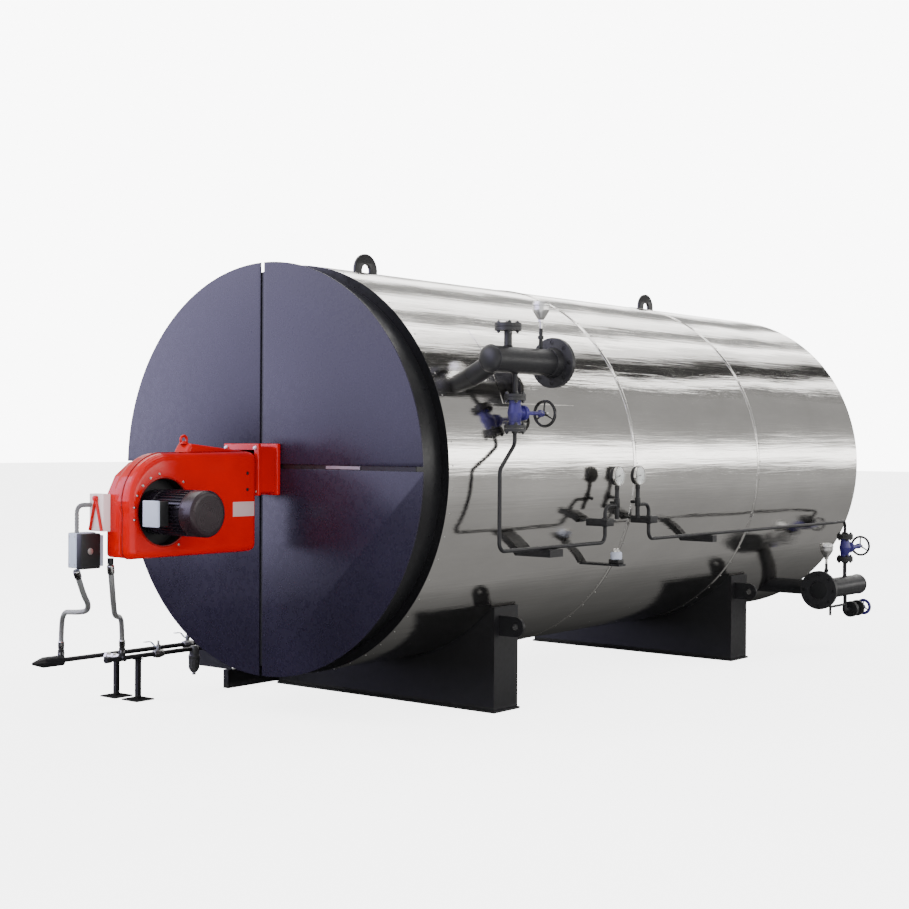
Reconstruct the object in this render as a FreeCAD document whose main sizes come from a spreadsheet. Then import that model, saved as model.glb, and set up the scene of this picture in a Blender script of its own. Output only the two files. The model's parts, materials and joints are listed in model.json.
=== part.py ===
import FreeCAD, Part
import math
import os
import re

import Sketcher

# Horizontal thermal-oil boiler: insulated drum on two saddles, oil burner on the
# front cover, flow and return headers with valves, gauges and oil supply lines.
# Axes: +X right (valve side), +Y to the rear, +Z up; the origin lies on the floor
# under the middle of the front saddle. Sizes in millimetres.

doc = FreeCAD.newDocument("Boiler")
Vec = FreeCAD.Vector

SIZES = (
    # drum
    ("drum_r", 1100), ("axis_z", 1333), ("drum_len", 5044), ("clad_front", 204),
    ("clad_t", 1.5), ("fit_gap", 0.3), ("neck_r", 1050), ("panel_t", 8),
    ("panel_gap", 24), ("gap_x", -15), ("gap_z", 18), ("course_gap", 1),
    ("seam_a", 1930), ("seam_b", 3470),
    ("rear_r", 1075), ("rear_t", 8), ("flue_r", 203), ("flue_t", 5), ("flue_len", 180),
    ("flue_rim", 250), ("flue_rim_t", 10), ("flue_z", 1733), ("strip_x", 450),
    ("strip_len", 235), ("strip_w", 16), ("strip_t", 5),
    ("flash_y", 730), ("flash_len", 660), ("flash_a", 19), ("flash_span", 24),
    ("flash_t", 2), ("eye_w", 190), ("eye_h", 120), ("eye_t", 20), ("eye_hole", 35),
    ("eye_y", 805), ("eye_pitch", 3040), ("eye_sink", 2),
    # saddles
    ("saddle_y", 1070), ("saddle_pitch", 2690), ("saddle_hw", 820), ("saddle_w", 220),
    ("saddle_h", 580), ("web_t", 16), ("foot_t", 12), ("foot_edge", 10),
    ("lug_len", 162), ("lug_r", 55), ("lug_t", 20), ("lug_hole", 18), ("lug_z", 477),
    ("lug_in", 55), ("lug_hole_x", 108),
    # headers
    ("head_x", 1150), ("head_r", 69.85), ("flow_z", 1912), ("flow_y", 472),
    ("flow_face", 1045), ("dish", 36), ("flange_r", 135), ("flange_t", 26),
    ("flange_pcr", 110), ("flange_hole", 13), ("flange_n", 8), ("neck_len_h", 40),
    ("neck_big", 84), ("bore_r", 64), ("bore_deep", 60), ("nozzle_r", 54),
    ("flow_noz_y", 540), ("ret_z", 458), ("ret_y", 4955),
    ("ret_face", 4300), ("ret_noz_y", 4480), ("ret_noz_x", 560),
    # vent stub on the flow header
    ("vent_y", 622), ("vent_r", 21.2), ("vent_top", 2062), ("vent_fl_r", 70),
    ("vent_fl_t", 18), ("gasket", 2), ("gasket_r", 40),
    # instrument valves
    ("small_r", 13.5), ("valve_y", 687), ("valve_z", 1639), ("rvalve_y", 4735),
    ("rvalve_z", 735), ("face_to_face", 160), ("sf_r", 57.5), ("sf_t", 16),
    ("body_r", 38), ("bonnet_r", 24), ("bonnet_len", 120), ("bonnet_fl_r", 40),
    ("bonnet_fl_t", 14), ("yoke_r", 16), ("yoke_len", 195), ("stem_r", 7),
    ("stem_len", 300), ("wheel_at", 270), ("wheel_r", 68), ("wheel_rim", 7),
    ("hub_r", 16), ("hub_len", 24), ("spoke_r", 5), ("turn_gap", 0.5),
    # drain
    ("drain_y", 4745), ("drain_z", 283), ("drain_face", 4842), ("dbody_r", 34),
    ("dbody_len", 110), ("dbonnet_r", 22), ("dbonnet_len", 160), ("dwheel_r", 52),
    ("dwheel_at", 225), ("dstem_len", 250), ("tail_len", 245), ("tail_r", 9),
    ("tail_drop", 60), ("tail_up", 42),
    # thermometers
    ("therm_y", 915), ("therm_len", 185), ("therm_r", 6), ("therm_head", 48),
    ("therm_t", 72), ("therm_cone", 36), ("rtherm_y", 4430), ("rtherm_len", 205),
    ("rtherm_head", 60), ("rtherm_t", 50), ("well_r", 14), ("well_len", 75),
    # gauges and their lines
    ("sense_x", 1190), ("line_r", 10.5), ("line_z", 928), ("drop_y", 505),
    ("jog_top", 1475), ("jog_low", 1345), ("gauge_r", 56), ("gauge_t", 38),
    ("gauge_z", 1298), ("gauge_a", 1614), ("gauge_b", 1835), ("siphon_dy", 122),
    ("siphon_z", 1132), ("siphon_r", 8), ("line_bend", 45),
    ("cock_z", 1055), ("cock_w", 34), ("cock_h", 46), ("plate_t", 8),
    ("plate_len", 90), ("support_a", 960), ("support_b", 2670),
    ("support_len", 120), ("support_h", 40), ("support_short", 50),
    ("sensor_y", 1610), ("sensor_z", 790), ("sensor_w", 76), ("sensor_len", 70),
    ("sensor_h", 42), ("sensor_arm", 12),
    ("sensor_fit", 18), ("sensor_fit_h", 46),
    # burner
    ("block_w", 260), ("block_h", 270), ("block_z", 1335), ("block_chamfer", 45),
    ("hous_right", 130), ("hous_step", 60), ("hous_left", -50), ("hous_back", 165),
    ("hous_front", 1012), ("hous_low", 915), ("hous_rear_top", 1428), ("hous_peak", 560),
    ("hous_top", 1471), ("hous_ledge", 1422), ("hous_ledge_y", 690), ("hous_round_y", 880),
    ("hous_round_z", 1378), ("hous_nose_y", 965), ("hous_nose_z", 1315),
    ("hous_brow_z", 1225), ("inlet_y", 800), ("inlet_z", 1137), ("inlet_r", 165),
    ("inlet_deep", 110), ("scroll_r", 208), ("motor_r", 113), ("motor_end", 450),
    ("hub_cap_r", 100), ("hub_cap_t", 20), ("tbox_x", 186), ("tbox_w", 110),
    ("tbox_len", 72), ("tbox_h", 126), ("unit_x", -160), ("unit_w", 102),
    ("unit_len", 140), ("unit_z", 896), ("unit_h", 144), ("brk_x", -118), ("brk_w", 103),
    ("brk_z", 1046), ("brk_h", 180), ("brk_len", 42), ("cond_r", 8), ("cond_z", 1174),
    ("cond_x", -108), ("cond_out", 128), ("cond_bend", 25), ("ring_r", 22), ("ring_t", 5),
    ("port_x", -33), ("port_y", 995), ("unit_port_x", -120), ("port_r", 15), ("port_len", 30),
    # oil lines
    ("oil_a", -1190), ("oil_b", -1000), ("oil_z", 250), ("oil_r", 13.5),
    ("oil_a_front", -385), ("oil_b_front", -235), ("oil_back", 655), ("nose_r", 30),
    ("nose_len", 130), ("nose_tip", 70), ("nose_tip_r", 8), ("post_w", 26),
    ("pad_w", 130), ("pad_t", 8), ("post_y", 0), ("cradle_t", 6), ("cradle_w", 44),
    ("rack_y", 640), ("rack_t", 10), ("rack_in", -905), ("rack_over", 25),
    ("beam_x", -950), ("beam_w", 42), ("beam_y", 615), ("beam_end", 1080),
    ("beam_h", 110), ("beam_link", 60),
    ("ball_a_y", 545), ("ball_b_y", 150), ("ball_r", 26), ("ball_len", 70),
    ("ball_neck_r", 10), ("ball_neck", 34), ("pin_r", 5), ("pin_len", 85),
    ("lever_len", 105), ("lever_w", 18), ("lever_t", 5), ("lever_rise", 40),
    ("lever_hub", 12), ("strain_y", 426), ("strain_r", 30), ("strain_low", 96),
    ("strain_head_r", 34), ("strain_head", 36), ("union_r", 16), ("union_len", 140),
    ("tee_r", 18), ("hose_r", 14), ("tail_a_y", -393),
    ("tail_b_y", -117), ("tail_h", 60),
)

sheet = doc.addObject("Spreadsheet::Sheet", "Sizes")
for row, (alias, value) in enumerate(SIZES, start=1):
    sheet.set(f"A{row}", alias)
    sheet.set(f"B{row}", str(value))
    sheet.setAlias(f"B{row}", alias)
doc.recompute()
NAMES = {alias for alias, value in SIZES}


def size(alias):
    """The value of one cell."""
    return float(sheet.get(alias))


def formula(text):
    """The text of an expression with its size names pointed at the sheet."""
    return re.sub(
        r"[a-z_][a-z0-9_]*",
        lambda m: "Sizes." + m.group(0) if m.group(0) in NAMES else m.group(0),
        str(text),
    )


def bind(obj, **values):
    for prop, text in values.items():
        obj.setExpression(prop, formula(text))
    return obj


TURNS = {
    "up": FreeCAD.Rotation(),
    "down": FreeCAD.Rotation(Vec(1, 0, 0), 180),
    "back": FreeCAD.Rotation(Vec(1, 0, 0), -90),
    "front": FreeCAD.Rotation(Vec(1, 0, 0), 90),
    "right": FreeCAD.Rotation(Vec(0, 1, 0), 90),
    "left": FreeCAD.Rotation(Vec(0, 1, 0), -90),
}


def at(obj, x, y, z, way="up"):
    """Places an object; y is counted from the front cover's outer face."""
    turn = TURNS[way] if isinstance(way, str) else way
    obj.Placement = FreeCAD.Placement(Vec(0, 0, 0), turn)
    obj.setExpression(".Placement.Base.x", formula(x))
    obj.setExpression(".Placement.Base.y", formula(f"{y} - saddle_y"))
    obj.setExpression(".Placement.Base.z", formula(z))
    return obj


count = 0


def new(kind):
    global count
    count += 1
    return doc.addObject(kind, f"F{count}")


def cyl(r, h, x, y, z, way="up"):
    return at(bind(new("Part::Cylinder"), Radius=r, Height=h), x, y, z, way)


def cone(r1, r2, h, x, y, z, way="up"):
    return at(bind(new("Part::Cone"), Radius1=r1, Radius2=r2, Height=h), x, y, z, way)


def box(lx, ly, lz, x, y, z):
    """A box standing on z, its footprint centred on x and y."""
    obj = bind(new("Part::Box"), Length=lx, Width=ly, Height=lz)
    return at(obj, f"({x}) - ({lx}) / 2", f"({y}) - ({ly}) / 2", z)


def ball(r, x, y, z):
    return at(bind(new("Part::Sphere"), Radius=r), x, y, z)


def ring(big, small, x, y, z, way="up"):
    return at(bind(new("Part::Torus"), Radius1=big, Radius2=small), x, y, z, way)


def dish(r, h, x, y, z, way):
    """A shallow domed end, half sunk in the pipe it closes."""
    obj = bind(new("Part::Ellipsoid"), Radius1=h, Radius2=r, Radius3=r)
    return at(obj, x, y, z, way)


def fuse(parts, label=None):
    obj = new("Part::MultiFuse")
    obj.Shapes = parts
    obj.Refine = True
    return name(obj, label)


def cut(base, tools, label=None):
    obj = new("Part::Cut")
    obj.Base = base
    obj.Tool = tools[0] if len(tools) == 1 else fuse(tools)
    obj.Refine = True
    return name(obj, label)


def group(parts, label):
    """Like pieces of one kind that don't touch each other."""
    obj = new("Part::Compound")
    obj.Links = parts
    return name(obj, label)


nodes = []


def name(obj, label):
    if label:
        obj.Label = label
        nodes.append(obj)
    return obj


def origin(body, role):
    return [f for f in body.Origin.OriginFeatures if f.Role == role]


def circle_sketch(body, title, circles, plane="XY_Plane"):
    """A sketch of circles (diameter, distance along x), each tied to the sheet."""
    sketch = body.newObject("Sketcher::SketchObject", f"{body.Name}{title}")
    sketch.AttachmentSupport = [(origin(body, plane)[0], "")]
    sketch.MapMode = "FlatFace"
    for i, (dia, off) in enumerate(circles):
        geo = sketch.addGeometry(Part.Circle(Vec(i, 0, 0), Vec(0, 0, 1), 1), False)
        sketch.addConstraint(Sketcher.Constraint("PointOnObject", geo, 3, -1))
        wide = sketch.addConstraint(Sketcher.Constraint("Diameter", geo, 1))
        away = sketch.addConstraint(Sketcher.Constraint("DistanceX", -1, 1, geo, 3, 1))
        sketch.renameConstraint(wide, f"dia{i}")
        sketch.renameConstraint(away, f"off{i}")
        sketch.setExpression(f"Constraints.dia{i}", formula(dia))
        sketch.setExpression(f"Constraints.off{i}", formula(off))
    return sketch


def pad(body, title, sketch, length):
    obj = body.newObject("PartDesign::Pad", f"{body.Name}{title}")
    obj.Profile = sketch
    obj.setExpression("Length", formula(length))
    sketch.Visibility = False
    return obj


def pocket(body, title, sketch, depth):
    obj = body.newObject("PartDesign::Pocket", f"{body.Name}{title}")
    obj.Profile = sketch
    obj.setExpression("Length", formula(depth))
    obj.Reversed = True
    return obj


def repeat(body, title, feature, times):
    obj = body.newObject("PartDesign::PolarPattern", f"{body.Name}{title}")
    obj.Originals = [feature]
    obj.Axis = (origin(body, "Z_Axis")[0], [""])
    obj.Angle = 360
    obj.setExpression("Occurrences", formula(times))
    body.Tip = obj
    return obj


def flange(r, t, bore, pcr, hole, times, x, y, z, way):
    """A drilled pipe flange standing on its pipe-side face."""
    body = new("PartDesign::Body")
    pad(body, "Disc", circle_sketch(body, "Rim", [(f"2 * {r}", "0")]), t)
    if bore:
        pocket(body, "Bore", circle_sketch(body, "Hole", [(f"2 * {bore}", "0")]), t)
    drill = pocket(body, "Drill", circle_sketch(body, "Bolt", [(f"2 * {hole}", pcr)]), t)
    repeat(body, "Ring", drill, times)
    return at(body, x, y, z, way)


def curve(points, bend, r):
    """A round bar along straight runs joined by tangent arcs of one radius."""
    pts = [Vec(*p) for p in points]
    edges, start = [], pts[0]
    for before, here, after in zip(pts, pts[1:], pts[2:]):
        a, b = (before - here).normalize(), (after - here).normalize()
        half = a.getAngle(b) / 2
        back = bend / math.tan(half)
        mid = here + (a + b).normalize() * (bend / math.sin(half) - bend)
        edges.append(Part.LineSegment(start, here + a * back).toShape())
        edges.append(Part.Arc(here + a * back, mid, here + b * back).toShape())
        start = here + b * back
    edges.append(Part.LineSegment(start, pts[-1]).toShape())
    wire = Part.Wire(edges)
    face = Part.Circle(pts[0], pts[1] - pts[0], r).toShape()
    return wire.makePipeShell([Part.Wire([face])], True, True)


def tube(points, bend, r, label=None):
    """A bent pipe; its points are size sums already read from the sheet."""
    obj = new("Part::Feature")
    obj.Shape = curve(points, bend, r)
    obj.Placement = FreeCAD.Placement(Vec(0, -size("saddle_y"), 0), TURNS["up"])
    return name(obj, label)


# drum: insulated body, bare front neck, three cladding courses
core = "drum_r - clad_t - fit_gap"
name_casing = fuse(
    [
        cyl("neck_r", "clad_front", 0, "panel_t + fit_gap", "axis_z", "back"),
        cyl(core, "drum_len - clad_front - fit_gap", 0, "clad_front", "axis_z", "back"),
    ],
    "drum_casing",
)

courses = []
for start, end in (("clad_front", "seam_a"), ("seam_a", "seam_b"), ("seam_b", "drum_len")):
    long = f"{end} - {start} - course_gap"
    courses.append(
        cut(
            cyl("drum_r", long, 0, start, "axis_z", "back"),
            [cyl("drum_r - clad_t", long, 0, start, "axis_z", "back")],
        )
    )
group(courses, "cladding_courses")

cut(
    cyl("drum_r", "panel_t", 0, 0, "axis_z", "back"),
    [
        box("panel_gap", "3 * panel_t", "3 * drum_r", "gap_x", 0, "axis_z - 1.5 * drum_r"),
        box("3 * drum_r", "3 * panel_t", "panel_gap", 0, 0,
            "axis_z + gap_z - panel_gap / 2"),
    ],
    "front_panels",
)
name(
    box("strip_len", "strip_t", "strip_w", "strip_x + strip_len / 2",
        "panel_t - strip_t / 2", "axis_z + gap_z - strip_w / 2"),
    "panel_strip",
)

name(cyl("rear_r", "rear_t", 0, "drum_len + fit_gap", "axis_z", "back"), "rear_cover")
flue_start = "drum_len + rear_t + 2 * fit_gap"
cut(
    fuse(
        [
            cyl("flue_r", "flue_len", 0, flue_start, "flue_z", "back"),
            cyl("flue_rim", "flue_rim_t", 0,
                flue_start + " + flue_len - flue_rim_t", "flue_z", "back"),
        ]
    ),
    [cyl("flue_r - flue_t", "flue_len", 0, flue_start, "flue_z", "back")],
    "flue_collar",
)

# weather plate of the flow nozzle, bent round the drum
sheet_r = "drum_r + fit_gap"
sector = bind(new("Part::Cylinder"), Radius=sheet_r + " + flash_t", Height="flash_len",
              Angle="flash_span")
inner = bind(new("Part::Cylinder"), Radius=sheet_r, Height="flash_len")
wrap = FreeCAD.Rotation(Vec(1, 0, 0), -90).multiply(
    FreeCAD.Rotation(Vec(0, 0, 1), -size("flash_a") - size("flash_span"))
)
at(sector, 0, "flash_y", "axis_z", wrap)
at(inner, 0, "flash_y", "axis_z", wrap)
cut(
    sector,
    [inner, cyl("nozzle_r + 6", "drum_r", 0, "flow_noz_y", "axis_z",
                FreeCAD.Rotation(Vec(0, 1, 0), 63))],
    "nozzle_flashing",
)

# lifting eyes on top
eyes = []
for i in (0, 1):
    mid = f"eye_y + {i} * eye_pitch"
    foot = "axis_z + drum_r - eye_sink"
    seat = "axis_z + drum_r + fit_gap"
    plate = fuse(
        [
            box("eye_t", "eye_w", "eye_h - eye_w / 2 + eye_sink", 0, mid, foot),
            cyl("eye_w / 2", "eye_t", "-eye_t / 2", mid,
                "axis_z + drum_r + eye_h - eye_w / 2", "right"),
        ]
    )
    eyes.append(
        cut(plate, [
            cyl("eye_hole", "3 * eye_t", "-1.5 * eye_t", mid,
                "axis_z + drum_r + eye_h - eye_w / 2", "right"),
            cyl("drum_r + fit_gap", "2 * eye_w", 0, mid + " - eye_w", "axis_z", "back"),
            box("3 * eye_t", "2 * eye_w", "eye_h", 0, mid,
                "axis_z + drum_r - eye_h + fit_gap"),
        ])
    )
group(eyes, "lifting_eyes")

# saddles
for label, i in (("front_saddle", 0), ("rear_saddle", 1)):
    mid = f"saddle_y + {i} * saddle_pitch"
    cut(
        fuse(
            [
                box("2 * saddle_hw", "saddle_w", "saddle_h", 0, mid, 0),
                box("2 * (saddle_hw + foot_edge)", "saddle_w + 2 * foot_edge", "foot_t",
                    0, mid, 0),
            ]
        ),
        [
            box("2 * (saddle_hw - web_t)", "saddle_w - 2 * web_t", "saddle_h", 0, mid,
                "foot_t"),
            cyl("drum_r + fit_gap", "3 * saddle_w", 0, mid + " - 1.5 * saddle_w",
                "axis_z", "back"),
        ],
        label,
    )

lugs = []
for i in (0, 1):
    for side in (-1, 1):
        mid = f"saddle_y + {i} * saddle_pitch - saddle_w / 2 + lug_in"
        long = "lug_len - lug_r"
        first = "saddle_hw + fit_gap"
        lugs.append(
            cut(
                fuse(
                    [
                        box(long, "lug_t", "2 * lug_r",
                            f"{side} * ({first} + ({long}) / 2)", mid, "lug_z - lug_r"),
                        cyl("lug_r", "lug_t", f"{side} * ({first} + {long})",
                            mid + " - lug_t / 2", "lug_z", "back"),
                    ]
                ),
                [cyl("lug_hole", "3 * lug_t", f"{side} * ({first} + lug_hole_x)",
                     mid + " - 1.5 * lug_t", "lug_z", "back")],
            )
        )
group(lugs, "tie_lugs")


# flow header, front upper right
lean = math.atan2(size("flow_z") - size("axis_z"), size("head_x"))
radial = FreeCAD.Rotation(Vec(0, 1, 0), 90 - math.degrees(lean))
dist = "sqrt((flow_z - axis_z) ^ 2 + head_x ^ 2)"
start = "drum_r + fit_gap"
cut(
    cyl("nozzle_r", f"{dist} - ({start}) - 20", f"({start}) * head_x / {dist}",
        "flow_noz_y", f"axis_z + ({start}) * (flow_z - axis_z) / {dist}", radial),
    [cyl("head_r + fit_gap", "4 * nozzle_r", "head_x", "flow_noz_y - 2 * nozzle_r",
         "flow_z", "back")],
    "flow_nozzle",
)
cut(
    fuse(
        [
            cyl("head_r", "flow_face - flange_t - fit_gap - flow_y", "head_x", "flow_y",
                "flow_z", "back"),
            dish("head_r", "dish", "head_x", "flow_y", "flow_z", "back"),
            cone("head_r", "neck_big", "neck_len_h", "head_x",
                 "flow_face - flange_t - fit_gap - neck_len_h", "flow_z", "back"),
        ]
    ),
    [cyl("bore_r", "bore_deep", "head_x", "flow_face - flange_t - bore_deep", "flow_z",
         "back")],
    "flow_header",
)
name(
    flange("flange_r", "flange_t", "bore_r", "flange_pcr", "flange_hole", "flange_n",
           "head_x", "flow_face - flange_t", "flow_z", "back"),
    "flow_flange",
)

# vent stub with its blind flange
vent_base = "flow_z + head_r + fit_gap"
fuse(
    [
        cyl("vent_r", f"vent_top - ({vent_base})", "head_x", "vent_y", vent_base),
        cyl("vent_fl_r", "vent_fl_t", "head_x", "vent_y", "vent_top"),
        cyl("gasket_r", "gasket", "head_x", "vent_y", "vent_top + vent_fl_t"),
    ],
    "vent_stub",
)
name(
    cyl("vent_fl_r", "vent_fl_t", "head_x", "vent_y",
        "vent_top + vent_fl_t + gasket + fit_gap"),
    "vent_blind",
)

# return header, rear lower right
cut(
    fuse(
        [
            cyl("head_r", "ret_y - ret_face - flange_t - fit_gap", "head_x",
                "ret_face + flange_t + fit_gap", "ret_z", "back"),
            dish("head_r", "dish", "head_x", "ret_y", "ret_z", "back"),
            cone("neck_big", "head_r", "neck_len_h", "head_x",
                 "ret_face + flange_t + fit_gap", "ret_z", "back"),
        ]
    ),
    [cyl("bore_r", "bore_deep", "head_x", "ret_face + flange_t", "ret_z", "back")],
    "return_header",
)
name(
    flange("flange_r", "flange_t", "bore_r", "flange_pcr", "flange_hole", "flange_n",
           "head_x", "ret_face + flange_t", "ret_z", "front"),
    "return_flange",
)
cut(
    cyl("nozzle_r", "head_x - ret_noz_x", "ret_noz_x", "ret_noz_y", "ret_z", "right"),
    [
        cyl("drum_r + fit_gap", "4 * nozzle_r", 0, "ret_noz_y - 2 * nozzle_r", "axis_z",
            "back"),
        cyl("head_r + fit_gap", "4 * nozzle_r", "head_x", "ret_noz_y - 2 * nozzle_r",
            "ret_z", "back"),
    ],
    "return_nozzle",
)


def globe_valve(label, y, z):
    """Instrument valve: body with its two flanges, bonnet to the rear and stem."""
    half = "face_to_face / 2"
    fuse(
        [
            ball("body_r", "head_x", y, z),
            cyl("small_r + 8", "face_to_face - 2 * sf_t", "head_x", y,
                f"{z} - {half} + sf_t"),
            cyl("bonnet_r", "bonnet_len", "head_x", y, z, "back"),
            cyl("bonnet_fl_r", "bonnet_fl_t", "head_x", f"{y} + bonnet_len / 2", z, "back"),
            cyl("yoke_r", "yoke_len", "head_x", y, z, "back"),
            cyl("stem_r", "stem_len", "head_x", y, z, "back"),
        ],
        label,
    )


def valve_flanges(label, y, z):
    """The two bolted pairs above and below a valve, kept apart by their gaskets."""
    discs = []
    for base in (
        f"{z} + face_to_face / 2 - sf_t + fit_gap", f"{z} + face_to_face / 2 + gasket",
        f"{z} - face_to_face / 2 - fit_gap", f"{z} - face_to_face / 2 - sf_t - gasket",
    ):
        discs.append(cyl("sf_r", "sf_t", "head_x", y, base))
    group(discs, label)


def handwheel(label, y, z, r):
    """Rim, four spokes and a bored hub turning on the stem along y."""
    spokes = [
        cyl("spoke_r", f"2 * {r}", f"head_x - {r} * {dx}", y, f"{z} - {r} * {dz}", way)
        for dx, dz, way in ((1, 0, "right"), (0, 1, "up"))
    ]
    cut(
        fuse(
            [
                ring(r, "wheel_rim", "head_x", y, z, "back"),
                cyl("hub_r", "hub_len", "head_x", f"{y} - hub_len / 2", z, "back"),
            ]
            + spokes
        ),
        [cyl("stem_r + turn_gap", "4 * hub_len", "head_x", f"{y} - 2 * hub_len", z, "back")],
        label,
    )


globe_valve("flow_valve", "valve_y", "valve_z")
valve_flanges("flow_valve_flanges", "valve_y", "valve_z")
handwheel("flow_handwheel", "valve_y + wheel_at", "valve_z", "wheel_r")
globe_valve("return_valve", "rvalve_y", "rvalve_z")
valve_flanges("return_valve_flanges", "rvalve_y", "rvalve_z")
handwheel("return_handwheel", "rvalve_y + wheel_at", "rvalve_z", "wheel_r")

# short pipes between the headers and the valves
above = "(face_to_face / 2 + gasket + sf_t + fit_gap)"
group(
    [
        cyl("small_r", f"flow_z - head_r - fit_gap - valve_z - {above}", "head_x", "valve_y",
            f"valve_z + {above}"),
        cyl("small_r", f"rvalve_z - {above} - ret_z - head_r - fit_gap", "head_x",
            "rvalve_y", "ret_z + head_r + fit_gap"),
    ],
    "valve_stubs",
)

# drain line and its angle valve below the return header
drop = "ret_z - head_r - fit_gap"
fuse(
    [
        cyl("small_r", f"{drop} - drain_z", "head_x", "drain_y", "drain_z"),
        ball("small_r", "head_x", "drain_y", "drain_z"),
        cyl("small_r", "drain_face - drain_y", "head_x", "drain_y", "drain_z", "back"),
        cyl("sf_r", "sf_t", "head_x", "drain_face - sf_t", "drain_z", "back"),
        cyl("tail_r", "tail_len", "head_x", "drain_y", "drain_z + tail_up", "front"),
        ball("tail_r", "head_x", "drain_y - tail_len", "drain_z + tail_up"),
        cyl("tail_r", "tail_drop", "head_x", "drain_y - tail_len", "drain_z + tail_up",
            "down"),
    ],
    "drain_line",
)
fuse(
    [
        cyl("sf_r", "sf_t", "head_x", "drain_face + fit_gap", "drain_z", "back"),
        cyl("dbody_r", "dbody_len", "head_x", "drain_face + fit_gap", "drain_z", "back"),
        cyl("small_r", "2 * dbody_r", "head_x", "drain_face + dbody_len / 2 + sf_t",
            "drain_z", "down"),
        cyl("dbonnet_r", "dbonnet_len", "head_x", "drain_face + fit_gap", "drain_z", "back"),
        cyl("stem_r", "dstem_len", "head_x", "drain_face + fit_gap", "drain_z", "back"),
    ],
    "drain_valve",
)
handwheel("drain_handwheel", "drain_face + dwheel_at", "drain_z", "dwheel_r")

# thermometers: round head over a cone on the stem, pocket welded to the header
for label, y, base, long, head, high in (
    ("flow_thermometer", "therm_y", "flow_z + head_r + fit_gap", "therm_len",
     "therm_head", "therm_t"),
    ("return_thermometer", "rtherm_y", "ret_z + head_r + fit_gap", "rtherm_len",
     "rtherm_head", "rtherm_t"),
):
    fuse(
        [
            cyl("well_r", "well_len", "head_x", y, base),
            cyl("therm_r", long, "head_x", y, base),
            cone("therm_r", f"{head} * 0.6", "therm_cone", "head_x", y,
                 f"{base} + {long} - therm_cone"),
            cyl(head, high, "head_x", y, f"{base} + {long}"),
        ],
        label,
    )

# gauges on their siphons
for label, y in (("flow_gauge", "gauge_a"), ("return_gauge", "gauge_b")):
    fuse(
        [
            cyl("gauge_r", "gauge_t", "sense_x - gauge_t / 2", y, "gauge_z", "right"),
            cyl("siphon_r", "gauge_z - gauge_r / 2 - cock_z - cock_h", "sense_x", y,
                "cock_z + cock_h"),
            box("cock_w", "cock_w", "cock_h", "sense_x", y, "cock_z"),
        ],
        label,
    )

sx, hx = size("sense_x"), size("head_x")
lz = size("line_z")
valve_under = size("valve_z") - size("face_to_face") / 2 - size("gasket") - size("sf_t")
flow_foot = valve_under - size("fit_gap")
drop_y, dy = size("drop_y"), size("siphon_dy")
stem_side = size("siphon_r") + size("fit_gap")
sz = size("siphon_z")
ga, gb = size("gauge_a"), size("gauge_b")
tube(
    [
        (hx, size("valve_y"), flow_foot), (hx, size("valve_y"), size("jog_top")),
        (sx, drop_y, size("jog_low")), (sx, drop_y, lz), (sx, ga - dy, lz),
        (sx, ga - dy, sz), (sx, ga - stem_side, sz),
    ],
    size("line_bend"), size("line_r"), "flow_gauge_line",
)
rvalve_top = size("rvalve_z") + size("face_to_face") / 2 + size("gasket") + size("sf_t")
tube(
    [
        (hx, size("rvalve_y"), rvalve_top + size("fit_gap")), (hx, size("rvalve_y"), lz),
        (sx, size("rvalve_y") - 300, lz), (sx, gb + dy, lz), (sx, gb + dy, sz),
        (sx, gb + stem_side, sz),
    ],
    size("line_bend"), size("line_r"), "return_gauge_line",
)

# brackets from the drum
shelf = "cock_z - fit_gap - plate_t"
under = "line_z - line_r - fit_gap - support_h"
brackets = []
for y, z, long, high, hole in (
    ("gauge_a - siphon_dy", shelf, "plate_len", "plate_t", True),
    ("gauge_b + siphon_dy", shelf, "plate_len", "plate_t", True),
    ("support_a", under, "support_len", "support_h", False),
    ("support_b", under, "support_short", "support_h", False),
    ("sensor_y", "sensor_z", "sensor_len", "sensor_arm", False),
):
    tools = [
        cyl("drum_r + fit_gap", "2 * support_len", 0, f"{y} - support_len", "axis_z", "back")
    ]
    if hole:
        tools.append(cyl("line_r + fit_gap", "3 * plate_t", "sense_x", y, f"{z} - plate_t"))
    reach = "sense_x + 1.2 * cock_w"
    brackets.append(
        cut(
            box(f"{reach} - drum_r + 4 * cock_w", long, high,
                f"({reach} + drum_r - 4 * cock_w) / 2", y, z),
            tools,
        )
    )
group(brackets, "line_brackets")

foot = "sensor_z + sensor_arm + fit_gap"
fuse(
    [
        box("sensor_w", "sensor_len", "sensor_h", "sense_x", "sensor_y", foot),
        cyl("sensor_fit", "sensor_fit_h", "sense_x", "sensor_y", f"{foot} + sensor_h"),
    ],
    "sensor_head",
)

# burner
block = cut(
    box("block_w", "hous_back - 2 * fit_gap", "block_h", 0, "-hous_back / 2",
        "block_z - block_h / 2"),
    [
        at(bind(new("Part::Box"), Length="2 * block_chamfer", Width="3 * hous_back",
                Height="2 * block_chamfer"),
           f"{side} * block_w / 2 - block_chamfer * sqrt(2)", "-2 * hous_back",
           "block_z + block_h / 2", FreeCAD.Rotation(Vec(0, 1, 0), 45))
        for side in (-1, 1)
    ],
    "burner_flange",
)

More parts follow.
